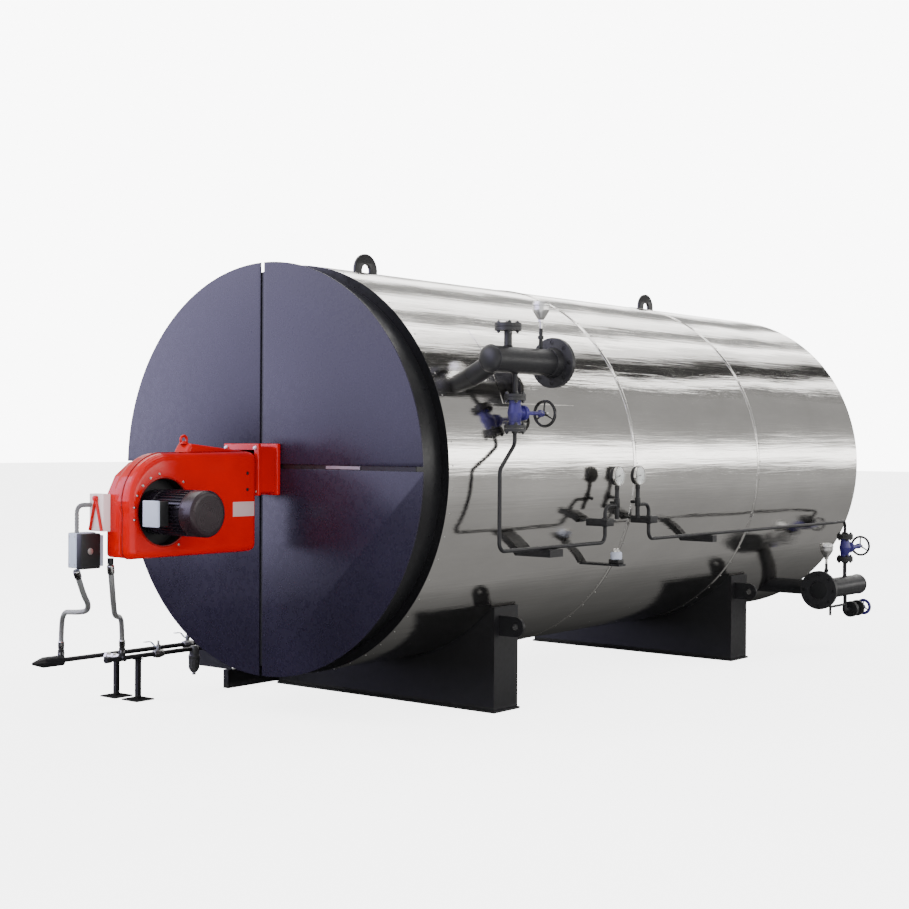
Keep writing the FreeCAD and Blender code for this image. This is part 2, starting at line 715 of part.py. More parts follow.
profile = new("PartDesign::Body")
side = profile.newObject("Sketcher::SketchObject", "HousingSide")
side.AttachmentSupport = [(origin(profile, "YZ_Plane")[0], "")]
side.MapMode = "FlatFace"
corners = (
    ("-hous_back", "hous_low"), ("-hous_back", "hous_rear_top"), ("-hous_peak", "hous_top"),
    ("-hous_peak - 30", "hous_ledge"), ("-hous_ledge_y", "hous_ledge"),
    ("-hous_round_y", "hous_round_z"), ("-hous_nose_y", "hous_nose_z"),
    ("-hous_front", "hous_brow_z"), ("-hous_front", "hous_low"),
)
last = len(corners) - 1
for i in range(len(corners)):
    a = Vec(-i, i * i, 0)
    b = Vec(-(i + 1), (i + 1) ** 2, 0) if i < last else Vec(0, 0, 0)
    side.addGeometry(Part.LineSegment(a, b), False)
for i in range(len(corners)):
    side.addConstraint(Sketcher.Constraint("Coincident", i, 2, (i + 1) % (last + 1), 1))
for i, (across, up) in enumerate(corners):
    for kind, text, tag in (("DistanceX", across, "y"), ("DistanceY", up, "z")):
        at_index = side.addConstraint(Sketcher.Constraint(kind, -1, 1, i, 1, 1))
        side.renameConstraint(at_index, f"{tag}{i}")
        side.setExpression(f"Constraints.{tag}{i}", formula(text))
slab = profile.newObject("PartDesign::Pad", "HousingPad")
slab.Profile = side
slab.setExpression("Length", formula("hous_step - hous_left"))
at(profile, "hous_left", 0, 0)
raised = "hous_right - hous_step"
middle = "hous_step + (hous_right - hous_step) / 2"
cut(
    fuse(
        [
            profile,
            cyl("scroll_r", raised, "hous_step", "-inlet_y", "inlet_z", "right"),
            box(raised, "inlet_y - hous_back", "inlet_z + scroll_r - hous_low", middle,
                "-(inlet_y + hous_back) / 2", "hous_low"),
            box(raised, "hous_peak - hous_back", "hous_rear_top - hous_low", middle,
                "-(hous_peak + hous_back) / 2", "hous_low"),
        ]
    ),
    [cyl("inlet_r", "2 * inlet_deep", "hous_right - inlet_deep", "-inlet_y", "inlet_z",
         "right")],
    "burner_housing",
)

floor_x = "hous_right - inlet_deep + fit_gap"
fuse(
    [
        cyl("motor_r", f"motor_end - hub_cap_t - ({floor_x})", floor_x, "-inlet_y", "inlet_z",
            "right"),
        cyl("hub_cap_r", "hub_cap_t", "motor_end - hub_cap_t", "-inlet_y", "inlet_z",
            "right"),
    ],
    "fan_motor",
)
name(
    box("tbox_w", "tbox_len", "tbox_h", "tbox_x + tbox_w / 2",
        "-inlet_y - motor_r - fit_gap - tbox_len / 2", "inlet_z - tbox_h / 2"),
    "motor_terminal_box",
)
front = "-hous_front - fit_gap"
fuse(
    [
        box("unit_w", "unit_len", "unit_h", "unit_x + unit_w / 2",
            f"{front} - unit_len / 2", "unit_z"),
        cyl("port_r", "port_len", "unit_port_x", f"{front} - unit_len * 0.85", "unit_z",
            "down"),
    ],
    "oil_unit",
)
name(cyl("port_r", "port_len", "port_x", "-port_y", "hous_low - fit_gap", "down"), "oil_port")
name(
    box("brk_w", "brk_len", "brk_h", "brk_x + brk_w / 2", f"{front} - brk_len / 2", "brk_z"),
    "burner_bracket",
)
hf = -size("hous_front") - size("fit_gap") - size("brk_len") - size("fit_gap")
out = -size("hous_front") - size("cond_out")
tube(
    [
        (size("cond_x"), hf, size("cond_z")), (size("cond_x"), out, size("cond_z")),
        (size("cond_x"), out, size("unit_z") + size("unit_h") + size("fit_gap")),
    ],
    size("cond_bend"), size("cond_r"), "burner_conduit",
)
cut(
    ring("ring_r", "ring_t", "0", "-hous_peak", "hous_top + ring_r - ring_t", "right"),
    [box("4 * ring_r", "4 * ring_r", "4 * ring_r", 0, "-hous_peak",
         "hous_top + fit_gap - 4 * ring_r")],
    "burner_eye",
)

# oil lines on their stands
fuse(
    [
        cyl("oil_r", "oil_back - oil_a_front", "oil_a", "oil_a_front", "oil_z", "back"),
        cyl("nose_r", "nose_len", "oil_a", "oil_a_front", "oil_z", "front"),
        cone("nose_r", "nose_tip_r", "nose_tip", "oil_a", "oil_a_front - nose_len", "oil_z",
             "front"),
        cyl("tee_r", "tail_h", "oil_a", "tail_a_y", "oil_z"),
    ],
    "oil_line_left",
)
fuse(
    [
        cyl("oil_r", "oil_back - oil_b_front", "oil_b", "oil_b_front", "oil_z", "back"),
        cyl("tee_r", "tee_r * 2", "oil_b", "oil_b_front", "oil_z", "back"),
        cyl("tee_r", "tail_h", "oil_b", "tail_b_y", "oil_z"),
        cyl("union_r", "union_len + 1.5 * tee_r", "oil_b - union_len", "tail_b_y",
            "oil_z", "right"),
    ],
    "oil_line_right",
)
stands = []
for x in ("oil_a", "oil_b"):
    stands.append(
        fuse(
            [
                box("pad_w", "pad_w", "pad_t", x, "post_y", 0),
                box("post_w", "post_w", "oil_z - oil_r - fit_gap", x, "post_y", 0),
                box("cradle_w", "cradle_w", "cradle_t", x, "post_y",
                    "oil_z - oil_r - fit_gap - cradle_t"),
            ]
        )
    )
group(stands, "oil_stands")
name(
    box("rack_in - oil_a + rack_over", "rack_t", "oil_z - oil_r - fit_gap - beam_h - fit_gap",
        "(rack_in + oil_a - rack_over) / 2", "rack_y", "beam_h + fit_gap"),
    "oil_rack",
)
link = "-saddle_hw - foot_edge - fit_gap - (beam_x + beam_w / 2)"
fuse(
    [
        box("beam_w", "beam_end - beam_y", "beam_h", "beam_x + beam_w / 2",
            "(beam_end + beam_y) / 2", 0),
        box(link, "beam_link", "beam_h", f"beam_x + beam_w / 2 + ({link}) / 2",
            "beam_end - beam_link / 2", 0),
    ],
    "floor_beam",
)

# ball valves with quarter-turn levers
for tag, x, y in (("left", "oil_a", "ball_a_y"), ("right", "oil_b", "ball_b_y")):
    cut(
        fuse(
            [
                cyl("ball_r", "ball_len", x, f"{y} - ball_len / 2", "oil_z", "back"),
                cyl("ball_neck_r", "ball_neck", x, y, "oil_z"),
                cyl("pin_r", "pin_len", x, y, "oil_z"),
            ]
        ),
        [cyl("oil_r + fit_gap", "2 * ball_len", x, f"{y} - ball_len", "oil_z", "back")],
        f"{tag}_ball_valve",
    )
    up = "oil_z + ball_neck + turn_gap"
    cut(
        fuse(
            [
                cyl("lever_hub", "lever_rise + lever_t", x, y, up),
                box("lever_w", "lever_len", "lever_t", x, f"{y} - lever_len / 2",
                    f"{up} + lever_rise"),
            ]
        ),
        [cyl("pin_r + turn_gap", "lever_len", x, y, "oil_z")],
        f"{tag}_valve_lever",
    )

cut(
    fuse(
        [
            cyl("strain_head_r", "strain_head", "oil_b", "strain_y", "oil_z - strain_head / 2"),
            cyl("strain_r", "oil_z - strain_low", "oil_b", "strain_y", "strain_low"),
        ]
    ),
    [cyl("oil_r + fit_gap", "4 * strain_head_r", "oil_b", "strain_y - 2 * strain_head_r",
         "oil_z", "back")],
    "oil_filter",
)

# free hoses: hand-placed corners, bend radius from the shorter run beside each
HOSES = {
    "left_hose": (
        (-120, -1131, 858), (-150, -1065, 735), (-320, -897, 665), (-460, -794, 611),
        (-660, -694, 582), (-860, -589, 560), (-1050, -480, 537), (-1183, -398, 462),
        (-1190, -393, 313),
    ),
    "right_hose": (
        (-33, -995, 881), (-48, -970, 750), (-220, -820, 650), (-430, -640, 580),
        (-640, -450, 540), (-830, -275, 510), (-975, -140, 455), (-1000, -117, 314),
    ),
}
for label, points in HOSES.items():
    pts = [Vec(*p) for p in points]
    edges, begin, radii = [], pts[0], []
    for before, here, after in zip(pts, pts[1:], pts[2:]):
        a, b = (before - here), (after - here)
        run = min(a.Length, b.Length)
        a.normalize()
        b.normalize()
        turn = math.pi - a.getAngle(b)
        bend = 0.45 * run / math.tan(turn / 2)
        radii.append(round(bend))
        mid = here + (a + b).normalize() * (bend / math.cos(turn / 2) - bend)
        edges.append(Part.LineSegment(begin, here + a * 0.45 * run).toShape())
        edges.append(Part.Arc(here + a * 0.45 * run, mid, here + b * 0.45 * run).toShape())
        begin = here + b * 0.45 * run
    edges.append(Part.LineSegment(begin, pts[-1]).toShape())
    wire = Part.Wire(edges)
    loop = Part.Wire([Part.Circle(pts[0], pts[1] - pts[0], size("hose_r")).toShape()])
    obj = new("Part::Feature")
    obj.Shape = wire.makePipeShell([loop], True, True)
    obj.Placement = FreeCAD.Placement(Vec(0, -size("saddle_y"), 0), TURNS["up"])
    name(obj, label)
    full = math.pi * size("hose_r") ** 2 * wire.Length
    print(label, "radii", radii, "length", round(wire.Length),
          "volume ratio", round(obj.Shape.Volume / full, 4))

doc.recompute()

os.makedirs("parts", exist_ok=True)
for obj in doc.Objects:
    if any(flag in obj.State for flag in ("Invalid", "Error")):
        raise RuntimeError(f"{obj.Label}: {obj.State}")
for obj in nodes:
    if obj.Shape.isNull() or not obj.Shape.isValid():
        raise RuntimeError(f"{obj.Label}: bad shape")
    obj.Shape.exportStep(f"parts/{obj.Label}.step")
    b = obj.Shape.BoundBox
    print(f"{obj.Label:22s} solids {len(obj.Shape.Solids)} volume {obj.Shape.Volume:.0f}"
          f" box {b.XMin:.0f} {b.YMin:.0f} {b.ZMin:.0f} .. {b.XMax:.0f} {b.YMax:.0f} {b.ZMax:.0f}")
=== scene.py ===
"""Industrial boiler: sheet work, fittings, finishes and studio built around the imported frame."""
import json
import math

import bmesh
import bpy
from bpy.props import FloatProperty, FloatVectorProperty, IntProperty, PointerProperty
from mathutils import Matrix, Vector


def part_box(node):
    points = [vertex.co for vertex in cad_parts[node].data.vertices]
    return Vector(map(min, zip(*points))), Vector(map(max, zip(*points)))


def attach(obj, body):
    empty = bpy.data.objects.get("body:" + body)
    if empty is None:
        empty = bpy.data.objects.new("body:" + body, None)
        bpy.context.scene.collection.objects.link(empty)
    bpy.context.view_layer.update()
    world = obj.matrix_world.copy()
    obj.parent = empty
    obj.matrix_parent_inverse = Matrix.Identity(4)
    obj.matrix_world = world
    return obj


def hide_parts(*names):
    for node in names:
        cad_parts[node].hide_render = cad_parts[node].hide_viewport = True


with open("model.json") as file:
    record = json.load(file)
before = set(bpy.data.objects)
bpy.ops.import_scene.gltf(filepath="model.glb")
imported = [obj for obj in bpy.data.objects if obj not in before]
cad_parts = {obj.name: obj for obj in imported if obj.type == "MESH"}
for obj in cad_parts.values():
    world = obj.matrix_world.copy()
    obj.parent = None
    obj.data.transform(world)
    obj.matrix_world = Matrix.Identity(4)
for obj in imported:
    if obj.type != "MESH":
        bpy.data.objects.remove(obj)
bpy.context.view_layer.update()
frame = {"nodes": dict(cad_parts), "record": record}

bl_info = {
    "name": "Industrial Boiler",
    "version": (1, 0, 0),
    "blender": (4, 5, 0),
    "location": "3D View > Sidebar > Boiler",
    "description": "Builds a horizontal thermal-oil boiler with burner, headers and valves",
    "category": "Object",
}

X, Y, Z = Vector((1, 0, 0)), Vector((0, 1, 0)), Vector((0, 0, 1))
WAYS = {"X": X, "Y": Y, "Z": Z, "-X": -X, "-Y": -Y, "-Z": -Z}
FINISHES = {}


# ---------------------------------------------------------------- places from the frame

def span(node):
    """Lowest and highest corner of a CAD node as vectors."""
    low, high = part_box(node)
    return Vector(low), Vector(high)


def centre(node):
    low, high = span(node)
    return (low + high) / 2


def joint_point(name):
    for joint in frame["record"]["behaviour"]["joints"]:
        if joint["name"] == name:
            return Vector(joint["pos_m"])
    raise RuntimeError(f"no joint {name}")


# ---------------------------------------------------------------- sizes and colours

class BoilerSizes(bpy.types.PropertyGroup):
    sheet_bead: FloatProperty(
        name="Seam bead", description="Height of the bead rolled along each cladding seam",
        default=0.004, min=0.0, max=0.02, unit="LENGTH")
    rivet_radius: FloatProperty(
        name="Rivet radius", description="Radius of the sheet rivets", default=0.0045,
        min=0.001, max=0.02, unit="LENGTH")
    rivet_pitch: FloatProperty(
        name="Rivet pitch", description="Distance between rivets on a seam", default=0.12,
        min=0.02, max=1.0, unit="LENGTH")
    casting_round: FloatProperty(
        name="Housing rounding", description="Radius on the edges of the burner housing",
        default=0.040, min=0.002, max=0.05, unit="LENGTH")
    motor_fins: IntProperty(
        name="Motor fins", description="Cooling fins round the fan motor", default=36,
        min=8, max=90)
    hose_radius: FloatProperty(
        name="Hose radius", description="Outer radius of the braided oil hoses",
        default=0.014, min=0.004, max=0.05, unit="LENGTH")
    dial_divisions: IntProperty(
        name="Dial divisions", description="Small divisions on each pressure dial",
        default=40, min=8, max=120)


def tone(name, description, default):
    return FloatVectorProperty(
        name=name, description=description, default=default, size=3, min=0.0, max=1.0,
        subtype="COLOR")


class BoilerColours(bpy.types.PropertyGroup):
    cover: tone("Front cover", "Paint of the four front panels", (0.011, 0.009, 0.021))
    burner: tone("Burner", "Enamel of the burner housing", (0.46, 0.0, 0.0))
    valve: tone("Valves", "Paint of the valve bodies", (0.020, 0.013, 0.125))
    steel: tone("Cladding", "Polished stainless sheet", (0.80, 0.785, 0.76))
    black: tone("Steelwork", "Satin black enamel", (0.007, 0.007, 0.008))
    dial: tone("Dials", "Face of the pressure gauges", (0.86, 0.86, 0.84))


# ---------------------------------------------------------------- finishes

class Nodes:
    """Short hand for building one material's node tree."""

    def __init__(self, name):
        self.material = bpy.data.materials.new(name)
        self.material.use_nodes = True
        self.tree = self.material.node_tree
        self.shader = self.tree.nodes["Principled BSDF"]

    def add(self, kind, **inputs):
        node = self.tree.nodes.new(kind)
        for key, value in inputs.items():
            node.inputs[key.replace("_", " ")].default_value = value
        return node

    def link(self, a, b):
        self.tree.links.new(a, b)

    def coords(self, stretch=(1, 1, 1), source="Object"):
        place = self.add("ShaderNodeTexCoord")
        scale = self.add("ShaderNodeMapping")
        scale.inputs["Scale"].default_value = stretch
        self.link(place.outputs[source], scale.inputs["Vector"])
        return scale.outputs["Vector"]

    def noise(self, vector, scale, detail=4.0, roughness=0.55):
        node = self.add("ShaderNodeTexNoise", Scale=scale, Detail=detail,
                        Roughness=roughness)
        self.link(vector, node.inputs["Vector"])
        return node.outputs["Fac"]

    def range(self, value, low, high, start=0.3, end=0.7):
        node = self.add("ShaderNodeMapRange")
        node.inputs["From Min"].default_value = start
        node.inputs["From Max"].default_value = end
        node.inputs["To Min"].default_value = low
        node.inputs["To Max"].default_value = high
        self.link(value, node.inputs["Value"])
        return node.outputs["Result"]

    def blend(self, factor, a, b):
        node = self.tree.nodes.new("ShaderNodeMix")
        node.data_type = "RGBA"
        node.inputs["A"].default_value = (*a, 1) if len(a) == 3 else a
        node.inputs["B"].default_value = (*b, 1) if len(b) == 3 else b
        self.link(factor, node.inputs["Factor"])
        return node.outputs["Result"]

    def bump(self, height, strength, distance, onto=None):
        node = self.add("ShaderNodeBump", Strength=strength, Distance=distance)
        self.link(height, node.inputs["Height"])
        if onto:
            self.link(onto, node.inputs["Normal"])
        return node.outputs["Normal"]

    def set(self, **values):
        for key, value in values.items():
            socket = self.shader.inputs[key.replace("_", " ")]
            if isinstance(value, bpy.types.NodeSocket):
                self.link(value, socket)
            else:
                socket.default_value = (*value, 1) if isinstance(value, tuple) else value
        return self.material


def shade(colour, factor):
    return tuple(min(1.0, max(0.0, c * factor)) for c in colour)


def painted(name, colour, rough, coat=0.0, peel=0.12, top_light=0.0, spread=0.07):
    """Enamel or paint: slow mottling, uneven gloss, fine orange peel and, where asked, a painted
    top light on upward faces.
    """
    n = Nodes(name)
    at = n.coords()
    cloud = n.noise(at, 2.6, 6)
    fine = n.noise(at, 34, 5)
    base = n.blend(n.range(cloud, 0, 1), shade(colour, 0.86), shade(colour, 1.14))
    # Painted top light: faces that look upward blend towards a lighter warm grey, standing in for
    # light falling on their tops.
    if top_light:
        normal = n.add("ShaderNodeNewGeometry").outputs["Normal"]
        split = n.add("ShaderNodeSeparateXYZ")
        n.link(normal, split.inputs[0])
        up = n.range(split.outputs["Z"], 0, top_light, 0.55, 1.0)
        mixer = n.tree.nodes.new("ShaderNodeMix")
        mixer.data_type = "RGBA"
        n.link(up, mixer.inputs["Factor"])
        n.link(base, mixer.inputs["A"])
        mixer.inputs["B"].default_value = (0.30, 0.29, 0.27, 1)
        base = mixer.outputs["Result"]
    gloss = n.range(fine, max(0.02, rough - spread), rough + spread)
    skin = n.bump(n.noise(at, 240, 2), peel, 0.0006)
    n.set(Base_Color=base, Roughness=gloss, Normal=skin)
    n.shader.inputs["Specular IOR Level"].default_value = 0.35
    n.shader.inputs["Coat Weight"].default_value = coat
    n.shader.inputs["Coat Roughness"].default_value = 0.08
    return n.material


def metal(name, colour, rough, grain=(1, 1, 1), depth=0.1, spread=0.08):
    """Bare metal with a directional grain and slightly cloudy polish."""
    n = Nodes(name)
    brushed = n.noise(n.coords(grain), 60, 4)
    cloud = n.noise(n.coords(), 9, 5)
    base = n.blend(n.range(cloud, 0, 1), shade(colour, 0.82), shade(colour, 1.05))
    gloss = n.range(brushed, max(0.03, rough - spread), rough + spread)
    n.set(Base_Color=base, Roughness=gloss, Metallic=1.0,
          Normal=n.bump(brushed, depth, 0.0004))
    return n.material


def rough_casting(name, colour, rough, grit=0.5):
    """Painted sand casting: coarse grit under the paint."""
    n = Nodes(name)
    at = n.coords()
    cloud = n.noise(at, 14, 6)
    sand = n.noise(at, 420, 3, 0.7)
    base = n.blend(n.range(cloud, 0, 1), shade(colour, 0.75), shade(colour, 1.25))
    gloss = n.range(n.noise(at, 90, 4), rough - 0.08, rough + 0.1)
    n.set(Base_Color=base, Roughness=gloss, Normal=n.bump(sand, grit, 0.0008))
    return n.material


def polished_sheet(name, colour):
    """Bright stainless cladding: long rolling marks, oil-canning and faint smears."""
    n = Nodes(name)
    course = n.add("ShaderNodeAttribute")
    course.attribute_name = "course"
    shift = n.add("ShaderNodeCombineXYZ")
    n.link(course.outputs["Fac"], shift.inputs["Y"])
    moved = n.add("ShaderNodeVectorMath")
    moved.operation = "ADD"
    n.link(n.coords(), moved.inputs[0])
    n.link(shift.outputs["Vector"], moved.inputs[1])

    def stretched(scale):
        node = n.add("ShaderNodeMapping")
        node.inputs["Scale"].default_value = scale
        n.link(moved.outputs["Vector"], node.inputs["Vector"])
        return node.outputs["Vector"]

    rolling = n.noise(stretched((9, 0.35, 9)), 2.2, 6, 0.6)
    hairline = n.noise(stretched((70, 1.3, 70)), 6, 3)
    panning = n.noise(stretched((0.9, 0.55, 0.9)), 1.4, 2, 0.4)
    smear = n.noise(stretched((2.0, 0.7, 2.0)), 2.5, 6, 0.6)
    base = n.blend(n.range(smear, 0, 1, 0.25, 0.75), shade(colour, 0.90), shade(colour, 1.06))
    gloss = n.range(smear, 0.05, 0.12)
    skin = n.bump(panning, 0.55, 0.05)
    skin = n.bump(rolling, 0.30, 0.006, skin)
    skin = n.bump(hairline, 0.08, 0.0006, skin)
    n.set(Base_Color=base, Roughness=gloss, Metallic=1.0, Normal=skin)
    return n.material


def braided(name):
    """Woven wire braid over a hose, on the hose's own u and v."""
    n = Nodes(name)
    flat = n.add("ShaderNodeUVMap")
    flat.uv_map = "along"
    waves = []
    for lean in (1, -1):
        turn = n.add("ShaderNodeMapping")
        turn.inputs["Rotation"].default_value = (0, 0, lean * math.radians(38))
        n.link(flat.outputs["UV"], turn.inputs["Vector"])
        wave = n.add("ShaderNodeTexWave", Scale=95.0, Distortion=0.6, Detail=1.0)
        n.link(turn.outputs["Vector"], wave.inputs["Vector"])
        waves.append(wave.outputs["Fac"])
    weave = n.add("ShaderNodeMath")
    weave.operation = "MAXIMUM"
    n.link(waves[0], weave.inputs[0])
    n.link(waves[1], weave.inputs[1])
    base = n.blend(weave.outputs[0], (0.14, 0.14, 0.14), (0.50, 0.51, 0.51))
    n.set(Base_Color=base, Roughness=n.range(weave.outputs[0], 0.6, 0.35, 0, 1),
          Metallic=0.75, Normal=n.bump(weave.outputs[0], 0.7, 0.0009))
    return n.material


def clear_glass(name):
    n = Nodes(name)
    n.set(Base_Color=(0.97, 0.98, 0.98), Roughness=0.03)
    n.shader.inputs["Transmission Weight"].default_value = 1.0
    n.shader.inputs["IOR"].default_value = 1.45
    return n.material


def make_finishes(colours):
    def rgb(value):
        return tuple(value)[:3]
    black = rgb(colours.black)
    FINISHES.update({
        "floor": pale_floor(),
        # The last figure on the three black finishes below is their share of painted top light.
        "satin_black": painted("satin_black_enamel", black, 0.34, 0.0, 0.10, 0.01),
        "pipe_black": painted("pipe_black_paint", shade(black, 1.6), 0.42, 0.0, 0.2, 0.04),
        "girder_black": painted("girder_black_paint", shade(black, 1.3), 0.45, 0.0, 0.2, 0.03),
        "cover": painted("cover_violet_grey", rgb(colours.cover), 0.28, 0.0, 0.02, 0.0, 0.04),
        "burner_red": painted("burner_red_enamel", rgb(colours.burner), 0.16, 0.0, 0.10,
                              0.0, 0.05),
        "burner_dark_red": painted("burner_dark_red", (0.22, 0.0, 0.0), 0.25),
        "valve_blue": rough_casting("valve_blue_casting", rgb(colours.valve), 0.34, 0.25),
        "flange_black": rough_casting("flange_black_casting", shade(black, 1.6), 0.45, 0.35),
        "wheel_black": painted("wheel_black_gloss", (0.012, 0.012, 0.013), 0.28, 0.3),
        "wheel_blue": painted("wheel_blue_gloss", rgb(colours.valve), 0.3, 0.3),
        "cladding": polished_sheet("polished_cladding", rgb(colours.steel)),
        "bright_steel": metal("bright_turned_steel", (0.66, 0.65, 0.63), 0.24),
        "dull_steel": metal("dull_zinc_steel", (0.42, 0.42, 0.41), 0.42),
        "strip_steel": metal("strip_steel", (0.30, 0.30, 0.30), 0.38, (1, 20, 20)),
        "aluminium": metal("cast_aluminium", (0.80, 0.80, 0.79), 0.36, (1, 1, 1), 0.25),
        "conduit_grey": painted("conduit_grey", (0.17, 0.17, 0.18), 0.45),
        "motor_black": painted("motor_black_enamel", (0.012, 0.009, 0.014), 0.24),
        "cowl_brown": painted("cowl_brown_black", (0.016, 0.008, 0.011), 0.30),
        "light_grey": painted("light_grey_plastic", (0.42, 0.46, 0.60), 0.40),
        "box_grey": painted("box_grey_plastic", (0.36, 0.38, 0.46), 0.42),
        "black_plastic": painted("black_plastic", (0.010, 0.010, 0.011), 0.38),
        "plate_grey": painted("blank_plate_grey", (0.42, 0.30, 0.30), 0.4),
        "dial_white": painted("dial_white", rgb(colours.dial), 0.5, 0.0, 0.02, 0.0, 0.02),
        "dial_ink": painted("dial_ink", (0.012, 0.012, 0.012), 0.5),
        "needle_red": painted("needle_red", (0.5, 0.01, 0.01), 0.4),
        "white_paint": painted("white_paint", (0.72, 0.60, 0.62), 0.35),
        "iron_grey": rough_casting("iron_grey", (0.035, 0.035, 0.036), 0.42, 0.4),
        "braid": braided("hose_braid"),
        "glass": clear_glass("dial_glass"),
    })


# ---------------------------------------------------------------- shapes

def pale_floor():
    n = Nodes("pale_floor")
    fine = n.range(n.noise(n.coords(), 3.0), 0, 1)
    n.set(Base_Color=n.blend(fine, (0.90, 0.90, 0.90), (0.92, 0.92, 0.92)),
          Roughness=0.7)
    glow = n.add("ShaderNodeEmission", Color=(1, 1, 1, 1), Strength=FLOOR_GLOW)
    both = n.add("ShaderNodeAddShader")
    n.link(n.shader.outputs[0], both.inputs[0])
    n.link(glow.outputs[0], both.inputs[1])
    path, pick = n.add("ShaderNodeLightPath"), n.add("ShaderNodeMixShader")
    n.link(path.outputs["Is Camera Ray"], pick.inputs[0])
    n.link(n.shader.outputs[0], pick.inputs[1])
    n.link(both.outputs[0], pick.inputs[2])
    n.link(pick.outputs[0], n.tree.nodes["Material Output"].inputs["Surface"])
    return n.material


def eased(points, radius, closed=False, steps=4):
    """The same line with each corner turned into a short arc."""
    pts = [Vector(p) for p in points]
    count = len(pts)
    made = []
    for i, here in enumerate(pts):
        r = radius[i] if isinstance(radius, (list, tuple)) else radius
        if (not closed and i in (0, count - 1)) or r <= 0:
            made.append(here)
            continue
        before, after = pts[i - 1] - here, pts[(i + 1) % count] - here
        la, lb = before.length, after.length
        if la < 1e-7 or lb < 1e-7:
            made.append(here)
            continue
        a, b = before / la, after / lb
        angle = a.angle(b)
        if angle > math.pi - 0.02:
            made.append(here)
            continue
        back = min(r / math.tan(angle / 2), 0.48 * la, 0.48 * lb)
        for k in range(steps + 1):
            t = k / steps
            p, q = here + a * back, here + b * back
            made.append((1 - t) ** 2 * p + 2 * t * (1 - t) * here + t * t * q)
    return made


def facing(way):
    """Rotation that turns local +Z to a direction."""
    way = WAYS[way] if isinstance(way, str) else Vector(way)
    return way.to_track_quat("Z", "Y").to_matrix().to_4x4()


def ring_path(radius, count, start=0.0):
    return [(radius * math.cos(start + 2 * math.pi * i / count),
             radius * math.sin(start + 2 * math.pi * i / count)) for i in range(count)]


